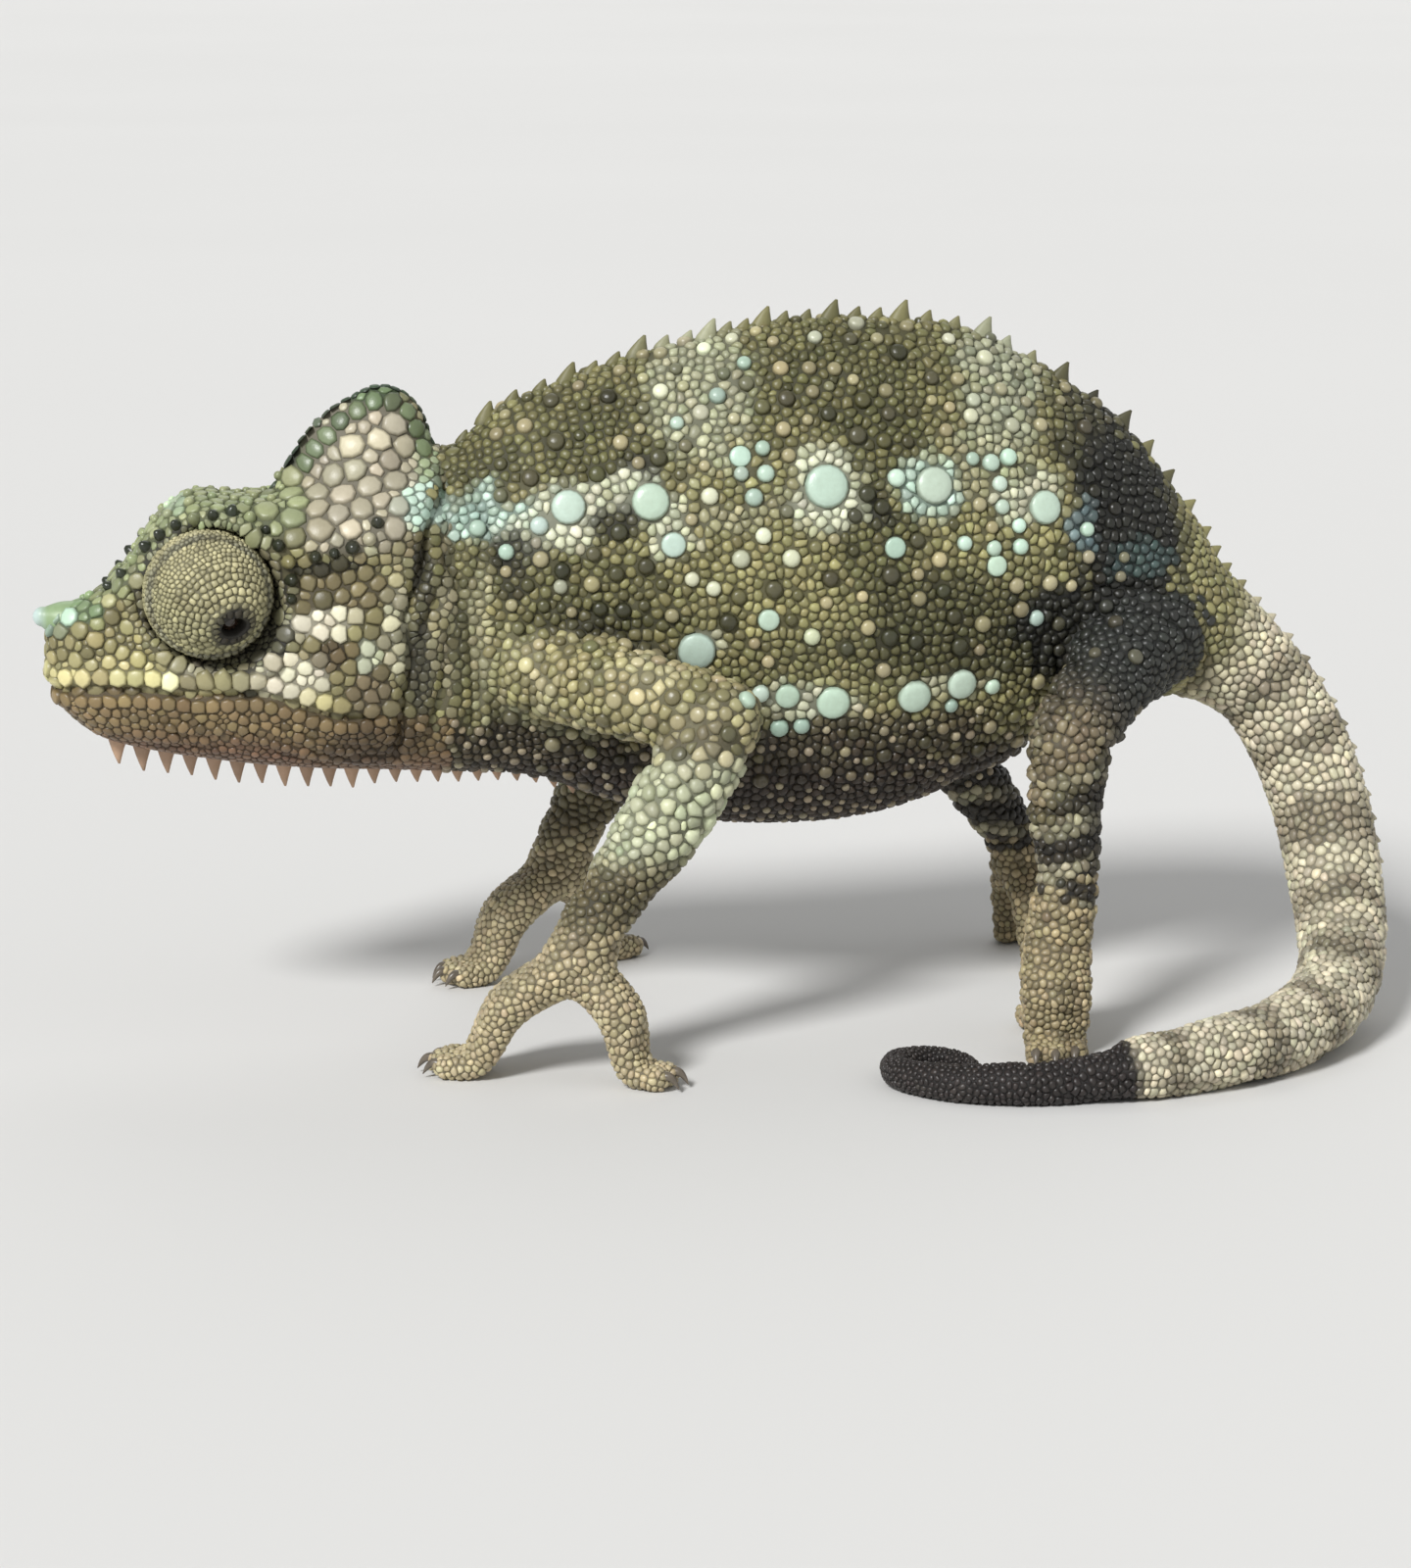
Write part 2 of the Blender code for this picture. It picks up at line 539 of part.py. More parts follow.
def chin_line(x):
    if x <= HEAD_BACK:
        line = np.array(HEAD_LINES["chin"], float)
        return smooth(line, [np.interp(x, line[:, 0], np.arange(len(line)))])[0]
    rings = spine_rings(0, 2, 21, 32)
    lowest = rings[np.arange(len(rings)), rings[..., 2].argmin(axis=1)]
    return np.array([x, 0.0, np.interp(x, lowest[:, 0], lowest[:, 2])])


def gular_spines(start, stop):
    """The crest's cones under the chin and throat, longest under the eye."""
    made = []
    x = -37.0
    while x < -9.0:
        length = np.interp(x, (-38, -27, -23, -20, -9), (1.6, 1.6, 1.5, 0.9, 0.6))
        if start <= x < stop:
            place = chin_line(x)
            made.append(spike(place + (0, 0, 0.1), (-0.05, 0, -1), length, 0.33 + 0.16 * length, 5, 0.75))
        x += np.interp(x, (-38, -24, -9), (1.7, 1.55, 1.25))
    return made


def make_head():
    rings = head_rings(HEAD_RINGS)
    head = solid("head", rings, "skin_green")
    join(head, crest_cones(surface_tree(rings)) + [nose_horn()])
    sockets = [solid("socket", turned_rings(eye_profile(GAP, 3.0), *eye_place(side), 16)) for side in (-1, 1)]
    nostrils = [solid("nostril", limb_rings(nostril_line(side), 2, 8)) for side in (-1, 1)]
    cut(head, sockets + nostrils)
    slit = solid("mouth_cut", mouth_rings())
    boolean(head, [slit], "DIFFERENCE", "EXACT")
    parts = surfaces(head)
    jaw = bpy.data.objects.new("lower_jaw", head.data.copy())
    bpy.data.collections["chameleon"].objects.link(jaw)
    jaw.data.materials.clear()
    jaw.data.materials.append(finish("throat_rose"))
    keep_surface(jaw, parts[1])
    keep_surface(head, parts[0])
    join(jaw, gular_spines(-38.0, -20.6))
    return head, jaw


def nostril_line(side):
    x, y, z = NOSTRIL
    return [(x, y * side, z, 0.38), (x + 0.5, (y + 1.3) * side, z + 0.3, 0.5)]


def mouth_rings():
    line = smooth(np.column_stack([MOUTH_LINE, np.zeros(len(MOUTH_LINE))]),
                  np.linspace(0, len(MOUTH_LINE) - 1, 33))[:, :2]
    along = unit(np.gradient(line, axis=0))
    across = np.column_stack([-along[:, 1], along[:, 0]]) * GAP / 2
    rings = [[(a[0], -9.0, a[1]), (b[0], -9.0, b[1]), (b[0], 9.0, b[1]), (a[0], 9.0, a[1])]
             for a, b in zip(line - across, line + across)]
    return np.array(rings)


def crest_cones(tree):
    """The bead-like cones of the brow and of the crest behind the eye, on both sides."""
    marks = ((-37.2, 28.9, 0.35), (-35.8, 30.4, 0.4), (-34.6, 31.6, 0.4), (-33.2, 32.6, 0.45),
             (-31.6, 33.0, 0.5), (-29.6, 33.0, 0.55), (-26.2, 31.4, 0.45),
             (-24.6, 31.3, 0.5), (-22.9, 31.6, 0.6), (-21.2, 32.3, 0.7))
    made = []
    for x, z, radius in marks:
        for side in (-1, 1):
            hit, normal = on_side(tree, x, z, side)
            if hit is not None:
                direction = normal + Vector((0.1, 0, 0.35))
                made.append(spike(hit, direction, radius * 1.2, radius, 5))
    return made


def nose_horn():
    start, tip = np.array(HORN_BASE), np.array(HORN_TIP)
    line = [(*start, 1.25), (*(0.45 * start + 0.55 * tip), 0.85), (*tip, 0.42)]
    return solid("nose_horn", limb_rings(line, 5, 10))


def eye_place(side):
    centre = np.array(EYE_CENTRE) * (1, side, 1)
    return centre, np.array(EYE_GAZE) * (1, side, 1)


def eye_profile(grow, beyond=0.0):
    """Half the turret's outline from its flat back to its rim; beyond is how far a socket's cutter runs out."""
    radius = EYE_RADIUS + grow
    back = EYE_BACK - grow
    start = math.asin(back / radius)
    if beyond:
        angles = np.linspace(start, 0, 5)
        ball = [(radius * math.sin(a), radius * math.cos(a)) for a in angles]
        return ball + [(radius * 1.4, radius + beyond * 0.05)]
    angles = np.linspace(start, math.radians(80), 9)
    return [(radius * math.sin(a), radius * math.cos(a)) for a in angles]


def make_eyes():
    for side, word in ((-1, "left"), (1, "right")):
        centre, gaze = eye_place(side)
        profile = eye_profile(0.0)
        rim = profile[-1][0]
        profile += [(rim + 0.12, EYE_SLIT_RADIUS + 0.22), (rim - 0.45, EYE_SLIT_RADIUS + 0.05),
                    (rim - 2.2, EYE_SLIT_RADIUS + GAP + 0.1)]
        solid(f"{word}_eye_turret", turned_rings(profile, centre, gaze, 15), "eye_lid")
        ball = [(rim - 1.25 + PUPIL_RADIUS * math.sin(a), PUPIL_RADIUS * 0.98 * math.cos(a))
                for a in np.linspace(-1.2, 1.3, 5)]
        solid(f"{word}_eye", turned_rings(ball, centre, gaze, 8), "eye_dark")


def make_casque():
    casque = solid("casque", casque_rings(11, 14), "skin_pale")
    cut(casque, [solid("head_space", head_rings(HEAD_RINGS, GAP)),
                 solid("neck_space", neck_rings(GAP))])


def make_trunk_and_tail():
    for name, start, stop, count, sides in LENGTHS:
        material = "skin_pale" if name.startswith("tail") else "skin_olive"
        first = start + (0.0 if name == "neck" else gap_share(start))
        rings = neck_rings() if name == "neck" else spine_rings(first, stop, count, sides)
        body = solid(name, rings, material, on_floor=True)
        tree = surface_tree(rings)
        pieces = dorsal_spines(start, stop, tree)
        if name in ("neck", "torso"):
            pieces += gular_spines(HEAD_BACK + 0.4, -11.0) if name == "neck" else gular_spines(-9.8, -8.0)
        if name == "torso":
            pieces += flank_scales(tree)
        join(body, pieces)


def gap_share(place):
    """How much of a station's step makes the gap between two lengths."""
    near = smooth(SPINE, [place, min(place + 0.5, len(SPINE) - 1)])[:, :3]
    return GAP / np.linalg.norm(near[1] - near[0]) * 0.5


def neck_rings(grow=0.0):
    """The neck, which leaves the head in the head's own outline and reaches the torso in its."""
    _, start, stop, count, sides = LENGTHS[0]
    rings = spine_rings(start, stop, count, sides, grow)
    head = head_rings(HEAD_RINGS, grow)[-1]
    match = min((head, np.roll(head[::-1], 1, axis=0)), key=lambda ring: np.linalg.norm(ring - rings[0]))
    share = ((1 - np.linspace(0, 1, count)) ** 1.5)[:, None, None]
    moved = match[None] + rings.mean(axis=1, keepdims=True) - match.mean(axis=0)
    out = rings * (1 - share) + (moved * (1 - share) + (moved * (1, 0, 0) + match * (0, 1, 1)) * share) * share
    out[0, :, 0] += GAP - 2 * grow
    return out


def flank_scales(tree):
    made = []
    for x, z, radius in FLANK_SCALES:
        for side in (-1, 1):
            hit, normal = on_side(tree, x, z, side)
            if hit is not None:
                made.append(disc(hit, normal, radius, 0.22 + 0.08 * radius))
    return made


def make_limbs():
    trunk = {}
    for word in ("left", "right"):
        for upper, lower, palm in (("upper_arm", "forearm", "forefoot"), ("thigh", "shin", "hindfoot")):
            names = [f"{word}_{n}" for n in (upper, lower, palm)]
            lines = [LIMBS[names[0]], LIMBS[names[1]], PALMS[names[2]]]
            bodies = [solid(name, limb_rings(line, *(((LIMB_RINGS, LIMB_SIDES), (3, PALM_SIDES))[i > 1])), "skin_olive")
                      for i, (name, line) in enumerate(zip(names, lines))]
            cut(bodies[0], [solid("trunk_space", spine_rings(0.0, 9.5, 24, 20, 0.5))])
            cut(bodies[1], [solid("upper_space", limb_rings(lines[0], LIMB_RINGS, LIMB_SIDES, GAP))])
            cut(bodies[2], [solid("lower_space", limb_rings(lines[1], LIMB_RINGS, LIMB_SIDES, GAP))])
            trunk[names[2]] = lines[1]
    for name, (palm, tip, count, beside) in TOES.items():
        make_toes(name, palm, tip, count, beside, trunk[palm])


def make_toes(name, palm, tip, count, beside, shank):
    """A bundle of toes side by side, from the palm to the floor, each with its claw."""
    root = np.array(PALMS[palm][-1][:3])
    floor = np.array([*tip, TOE_TIP_RADIUS * 0.85])
    beside = unit(np.array([*beside, 0.0]))
    out = unit((floor - root) * (1, 1, 0))
    toes, claws = [], []
    for k in range(count):
        step = (k - (count - 1) / 2) * TOE_SPREAD
        short = 0.5 * abs(k - (count - 1) / 2)
        end = floor + beside * step * 0.9 - out * short
        start = root + beside * step * 0.6
        ball = end - out * TOE_FLAT
        middle = (start + ball) / 2 + out * 0.7 + (0, 0, 0.5)
        line = [(*start, TOE_ROOT_RADIUS), (*middle, 1.3), (*ball, TOE_TIP_RADIUS), (*end, TOE_TIP_RADIUS)]
        toes.append(solid(f"{name}_{k}", limb_rings(line, 4, 6), None, on_floor=True))
        claw = end + out * (TOE_TIP_RADIUS - 0.15) + (0, 0, 0.25)
        claws.append(spike(claw, out + (0, 0, -0.28), CLAW_LENGTH * 0.62, CLAW_RADIUS, 6))
    web = (root + floor) / 2 + out * 0.5
    bundle = solid(name, limb_rings([(*root, 1.8), (*web, 1.15)], 3, 8), "skin_olive")
    for claw in claws:
        lift_to_floor(claw)
    join(bundle, toes + claws)
    cut(bundle, [solid("palm_space", limb_rings(PALMS[palm], 3, PALM_SIDES, GAP)),
                 solid("shank_space", limb_rings(shank, LIMB_RINGS, LIMB_SIDES, GAP))])
    if name.endswith("outer_toes"):
        other = name.replace("outer", "inner")
        keep_apart(bundle, other, root, tip, TOES[other][1])


def lift_to_floor(obj):
    for vert in obj.data.vertices:
        vert.co.z = max(vert.co.z, 0.0)


def keep_apart(bundle, other_name, root, tip, other_tip):
    """Cuts both bundles of a foot along the plane between them, so that a gap is left."""
    away = unit(np.array([*tip, 0.0]) - np.array([*other_tip, 0.0]))
    for obj, sign in ((bundle, 1), (bpy.data.objects[other_name], -1)):
        mesh = bmesh.new()
        mesh.from_mesh(obj.data)
        plane = (root + sign * away * GAP / 2 + np.array(ORIGIN_SHIFT)) * METRES
        bmesh.ops.bisect_plane(mesh, geom=mesh.verts[:] + mesh.edges[:] + mesh.faces[:], dist=1e-7,
                               plane_co=Vector(plane), plane_no=Vector(away * sign), clear_inner=True)
        edges = [e for e in mesh.edges if e.is_boundary]
        if edges:
            bmesh.ops.holes_fill(mesh, edges=edges)
        mesh.to_mesh(obj.data)
        mesh.free()
        keep_largest(obj)


def main():
    start_empty()
    make_trunk_and_tail()
    make_head()
    make_casque()
    make_eyes()
    make_limbs()
    low, high, total = np.full(3, 1e9), np.full(3, -1e9), 0
    for obj in bpy.data.collections["chameleon"].objects:
        points = np.array([v.co for v in obj.data.vertices]) / METRES
        low, high = np.minimum(low, points.min(axis=0)), np.maximum(high, points.max(axis=0))
        triangles = sum(len(face.vertices) - 2 for face in obj.data.polygons)
        total += triangles
        print(obj.name, triangles, "triangles")
    print(total, "triangles in all")
    print("box", np.round(low, 2), np.round(high, 2), "middle", np.round((low + high) / 2, 2))


main()
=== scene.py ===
# %% [markdown]
# A high-casqued chameleon, at life size. The CAD model gives its size and stance. Here one skin covers the
# flesh, and thousands of small solid scales grow out of that skin, as on the real animal.
# Sizes in the tables are millimetres. Meshes are made in metres, in the CAD model's own frame.

# %% Load the CAD model
import math

import bmesh
import bpy
import numpy as np
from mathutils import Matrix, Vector, kdtree, noise
from mathutils.bvhtree import BVHTree


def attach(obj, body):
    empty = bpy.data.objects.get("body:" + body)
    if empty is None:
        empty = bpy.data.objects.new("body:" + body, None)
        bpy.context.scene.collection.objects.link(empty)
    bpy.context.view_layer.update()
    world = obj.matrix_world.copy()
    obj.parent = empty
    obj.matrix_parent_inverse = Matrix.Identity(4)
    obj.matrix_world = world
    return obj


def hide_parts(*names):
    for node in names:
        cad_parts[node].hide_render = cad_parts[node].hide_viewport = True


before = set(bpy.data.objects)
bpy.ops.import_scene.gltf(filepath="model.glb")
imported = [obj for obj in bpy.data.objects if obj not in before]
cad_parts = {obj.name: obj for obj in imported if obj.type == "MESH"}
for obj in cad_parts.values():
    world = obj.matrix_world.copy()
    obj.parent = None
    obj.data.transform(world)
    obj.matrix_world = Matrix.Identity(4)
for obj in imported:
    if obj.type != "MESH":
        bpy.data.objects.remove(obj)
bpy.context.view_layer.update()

METRES = 0.001
BODY_SHIFT = np.array([-1.08, 4.15, 0.0])  # from the animal's own origin to the middle of the CAD model's box
COAT_DEPTH = 0.16  # how far the bare skin lies inside the tops of its scales
RNG = np.random.default_rng(7)

# %% [markdown]
# A chameleon's spine runs from the nape over the arched back, down the tail and round its coil. One table of
# stations gives the place, the reach above and below, the half width and how keeled the back is. Limbs are
# shorter tables of place and radius. Smooth curves through the stations give any number of sections.

# %% The body's stations
# The last stations of the tail are round: (x, y, z, radius)
TAIL_END = (
    (38.0, -12.8, 3.3, 2.6), (34.9, -17.0, 2.5, 2.45), (30.7, -20.4, 2.15, 2.3),
    (25.6, -22.7, 1.95, 2.1), (22.4, -23.5, 1.8, 1.95), (19.4, -23.9, 1.4, 1.5),
    (14.2, -23.6, 1.22, 1.3), (10.4, -21.9, 1.05, 1.12), (8.4, -19.0, 0.93, 0.98),
    (9.3, -16.2, 0.81, 0.86), (11.8, -15.6, 0.70, 0.74), (13.3, -17.5, 0.60, 0.64),
    (12.3, -19.3, 0.52, 0.55), (11.0, -18.6, 0.43, 0.46),
)
# (x, y, z, reach above, reach below, half width, how keeled)
SPINE = (
    (-16.6, 0.0, 26.7, 10.4, 10.4, 4.8, 0.15),
    (-10.5, 0.0, 27.7, 12.4, 12.4, 5.8, 0.30),
    (-4.3, 0.0, 28.1, 14.4, 14.6, 6.6, 0.40),
    (2.5, 0.0, 28.3, 15.8, 15.9, 7.3, 0.45),
    (10.0, 0.0, 28.8, 16.0, 16.0, 7.5, 0.45),
    (17.4, 0.0, 29.0, 14.5, 14.0, 6.7, 0.45),
    (23.6, 0.0, 28.4, 10.4, 11.6, 5.3, 0.40),
    (27.6, 0.0, 26.9, 6.9, 9.0, 4.5, 0.35),
    (30.6, 0.0, 24.9, 4.9, 6.2, 3.9, 0.25),
    (33.6, 0.0, 22.9, 3.9, 3.9, 3.4, 0.10),
    (36.5, -0.1, 20.6, 3.2, 3.2, 3.1, 0.05),
    (38.8, -0.5, 17.2, 3.15, 3.15, 3.05, 0.0),
    (40.3, -1.6, 13.0, 3.1, 3.1, 3.05, 0.0),
    (40.6, -4.2, 8.7, 3.0, 3.0, 2.95, 0.0),
    (39.9, -8.3, 5.2, 2.8, 2.8, 2.75, 0.0),
    *((x, y, z, radius, radius, radius, 0.0) for x, y, z, radius in TAIL_END),
)
TAIL_STARTS, TAIL_DARKENS = 8.3, 19.35  # stations

# limb: its stations, each (x, y, z, radius)
LIMBS = {
    "left_upper_arm": ((-12.6, -2.6, 23.8, 3.1), (-6.5, -7.6, 22.6, 2.85), (-0.9, -10.8, 21.4, 2.6)),
    "left_forearm": ((-0.9, -10.8, 21.0, 2.6), (-4.0, -11.8, 16.4, 2.75), (-8.3, -12.9, 10.6, 2.1)),
    "left_thigh": ((28.4, -2.2, 24.4, 4.0), (24.8, -6.6, 22.6, 3.1), (21.2, -10.4, 19.6, 2.5)),
    "left_shin": ((21.2, -10.4, 19.2, 2.5), (20.7, -11.2, 15.0, 2.35), (20.8, -12.0, 10.4, 1.95)),
    "right_upper_arm": ((-12.6, 2.6, 23.8, 3.1), (-7.2, 7.6, 21.8, 2.85), (-2.6, 10.6, 19.6, 2.6)),
    "right_forearm": ((-2.6, 10.6, 19.2, 2.6), (-4.6, 11.2, 14.8, 2.6), (-6.9, 11.9, 9.9, 2.1)),
    "right_thigh": ((28.0, 2.2, 24.0, 4.0), (22.8, 6.6, 20.8, 3.1), (17.6, 9.8, 16.6, 2.5)),
    "right_shin": ((17.6, 9.8, 16.2, 2.5), (20.2, 10.4, 12.4, 2.3), (22.9, 10.9, 8.6, 1.95)),
    "left_forefoot": ((-8.9, -13.1, 9.9, 2.2), (-10.4, -13.7, 7.3, 2.2)),
    "left_hindfoot": ((20.5, -12.1, 9.6, 2.2), (20.0, -12.3, 7.2, 2.3)),
    "right_forefoot": ((-7.2, 12.1, 9.2, 2.2), (-7.9, 12.3, 7.0, 2.2)),
    "right_hindfoot": ((23.4, 11.1, 7.9, 2.2), (23.8, 11.2, 6.4, 2.2)),
}
# bundle: (its palm, x and y of its tip, how many toes, which way they lie beside one another)
TOES = {
    "left_fore_inner_toes": ("left_forefoot", (-18.4, -11.2), 3, (0.25, 1.0)),
    "left_fore_outer_toes": ("left_forefoot", (-5.4, -17.0), 2, (0.6, 0.8)),
    "left_hind_inner_toes": ("left_hindfoot", (20.2, -6.6), 2, (1.0, 0.1)),
    "left_hind_outer_toes": ("left_hindfoot", (18.9, -16.4), 3, (1.0, 0.0)),
    "right_fore_inner_toes": ("right_forefoot", (-15.4, 9.6), 3, (0.25, -1.0)),
    "right_fore_outer_toes": ("right_forefoot", (-2.6, 15.4), 2, (0.6, -0.8)),
    "right_hind_inner_toes": ("right_hindfoot", (24.6, 5.8), 2, (1.0, -0.1)),
    "right_hind_outer_toes": ("right_hindfoot", (25.2, 15.6), 3, (1.0, 0.0)),
}
TOE_ROOT_RADIUS, TOE_MIDDLE_RADIUS, TOE_TIP_RADIUS, TOE_WEB_RADII = 1.5, 1.3, 0.85, (1.8, 1.5, 1.15)
TOE_SPREAD, TOE_FLAT = 1.35, 1.3  # distance between toes, and the length that lies flat
print(len(SPINE), "stations along the spine,", len(LIMBS), "limbs,", len(TOES), "bundles of toes")

# %% Curves and directions
def unit(v):
    return v / np.maximum(np.linalg.norm(v, axis=-1, keepdims=True), 1e-12)


def lengths_along(line):
    """How far along a line of places each of them is."""
    return np.concatenate([[0], np.cumsum(np.linalg.norm(np.diff(line, axis=0), axis=1))])


def smooth(stations, places):
    """Points on the smooth curve through the stations; a place is a station's number, or lies between two."""
    table = np.asarray(stations, float)
    places = np.clip(np.asarray(places, float), 0, len(table) - 1)
    steps = np.linalg.norm(np.diff(table[:, :3], axis=0), axis=1)[:, None]
    slopes = np.diff(table, axis=0) / steps
    tangents = np.empty_like(table)
    tangents[0], tangents[-1] = slopes[0], slopes[-1]
    tangents[1:-1] = (slopes[:-1] * steps[1:] + slopes[1:] * steps[:-1]) / (steps[:-1] + steps[1:])
    i = np.minimum(places.astype(int), len(table) - 2)
    t = (places - i)[:, None]
    h = steps[i]
    return ((2 * t**3 - 3 * t**2 + 1) * table[i] + (t**3 - 2 * t**2 + t) * h * tangents[i]
            + (3 * t**2 - 2 * t**3) * table[i + 1] + (t**3 - t**2) * h * tangents[i + 1])


def frames(centres, first_up=(0.0, 0.0, 1.0)):
    """Along, up and side directions at each centre, carried from section to section without a twist."""
    along = unit(np.gradient(centres, axis=0))
    up = np.empty_like(along)
    up[0] = unit(np.array(first_up) - along[0] * (along[0] @ np.array(first_up)))
    for i in range(1, len(along)):
        up[i] = unit(up[i - 1] - along[i] * (up[i - 1] @ along[i]))
    return along, up, np.cross(along, up)

# %% The spine's line
FINE = np.arange(0, len(SPINE) - 1 + 1e-9, 1 / 12)
SPINE_LINE = smooth(SPINE, FINE)
SPINE_ALONG, SPINE_UP, SPINE_SIDE = frames(SPINE_LINE[:, :3])
SPINE_LENGTH = lengths_along(SPINE_LINE[:, :3])
print("spine, nape to tail tip:", round(SPINE_LENGTH[-1], 1), "mm")

# %% Sections of the body and limbs
def carried(directions, places):
    """The spine's directions at these stations."""
    return unit(np.column_stack([np.interp(places, FINE, directions[:, k]) for k in range(3)]))


def spine_rings(places, sides, grow):
    """Sections square to the spine, rounded below and drawn to a keel above."""
    table = smooth(SPINE, places)
    lift, across = carried(SPINE_UP, places), carried(SPINE_SIDE, places)
    angle = 2 * math.pi * np.arange(sides) / sides - math.pi / 2
    side, rise = np.cos(angle)[None], np.sin(angle)[None]
    power = np.where(rise > 0, 1 + table[:, 6:7], 1.0)
    out = (table[:, 5:6] + grow) * np.sign(side) * np.abs(side) ** power
    up = np.where(rise > 0, table[:, 3:4] + grow, table[:, 4:5] + grow) * rise
    return table[:, None, :3] + out[..., None] * across[:, None] + up[..., None] * lift[:, None]


def neck_rings(count, head_end, grow):
    """The neck, which leaves the head in the head's own outline and reaches the torso in its."""
    rings = spine_rings(np.linspace(0, 1, count), len(head_end), grow)
    share = ((1 - np.linspace(0, 1, count)) ** 1.5)[:, None, None]
    moved = head_end[None] + rings.mean(axis=1, keepdims=True) - head_end.mean(axis=0)
    at_head = moved * (1 - share) + (moved * (1, 0, 0) + head_end * (0, 1, 1)) * share
    return rings * (1 - share) + at_head * share


def limb_rings(line, count, sides, grow=0.0, ends=4):
    """Round sections along a line of (x, y, z, radius), with rounded ends."""
    table = smooth(line, np.linspace(0, len(line) - 1, count))
    centres, radii = table[:, :3], table[:, 3] + grow
    _, up, side = frames(centres, (0.3, 0.2, 1.0))
    angle = 2 * math.pi * np.arange(sides) / sides

    def circle(i, radius, shift=0.0):
        ring = np.cos(angle)[:, None] * side[i] + np.sin(angle)[:, None] * up[i]
        return centres[i] + radius * ring + shift

    first, last = unit(centres[0] - centres[1]), unit(centres[-1] - centres[-2])
    turns = np.radians(np.linspace(0, 80, ends + 1)[1:])
    rings = [circle(0, radii[0] * math.cos(t), first * radii[0] * math.sin(t)) for t in turns[::-1]]
    rings += [circle(i, radii[i]) for i in range(count)]
    rings += [circle(-1, radii[-1] * math.cos(t), last * radii[-1] * math.sin(t)) for t in turns]
    return np.array(rings)


def toe_reach(name):
    """Where a bundle of toes leaves the palm, where its tip meets the floor, and the level way between."""
    palm, tip, _, _ = TOES[name]
    root = np.array(LIMBS[palm][-1][:3])
    tip = np.array([*tip, TOE_TIP_RADIUS * 0.85])
    return root, tip, unit((tip - root) * (1, 1, 0))


def toe_line(name, k):
    """The middle line of one toe of a bundle: from the palm to the ball of the toe, then flat to its tip."""
    root, tip, out = toe_reach(name)
    _, _, count, beside = TOES[name]
    beside = unit(np.array([*beside, 0.0]))
    from_middle = k - (count - 1) / 2
    end = tip + beside * from_middle * TOE_SPREAD * 0.9 - out * 0.5 * abs(from_middle)
    start = root + beside * from_middle * TOE_SPREAD * 0.6
    ball = end - out * TOE_FLAT
    middle = (start + ball) / 2 + out * 0.7 + (0, 0, 0.5)
    return [(*start, TOE_ROOT_RADIUS), (*middle, TOE_MIDDLE_RADIUS), (*ball, TOE_TIP_RADIUS),
            (*end, TOE_TIP_RADIUS)], out


def toe_web(name):
    """The flesh that joins the toes of a bundle as far as their middles."""
    root, tip, out = toe_reach(name)
    web = (root + tip) / 2 + out * 0.5
    return [(*place, radius) for place, radius in zip((root, (root + web) / 2, web), TOE_WEB_RADII)]


# %% [markdown]
# The head is a loft through lines that run from the snout to the nape: chin, jaw, lip, cheek, the hollow
# round the eye, the temple, the crest over the eye and the crown. The casque is a stack of drop-shaped
# slices above it. Lines like these follow real landmarks, so each can be moved by itself.

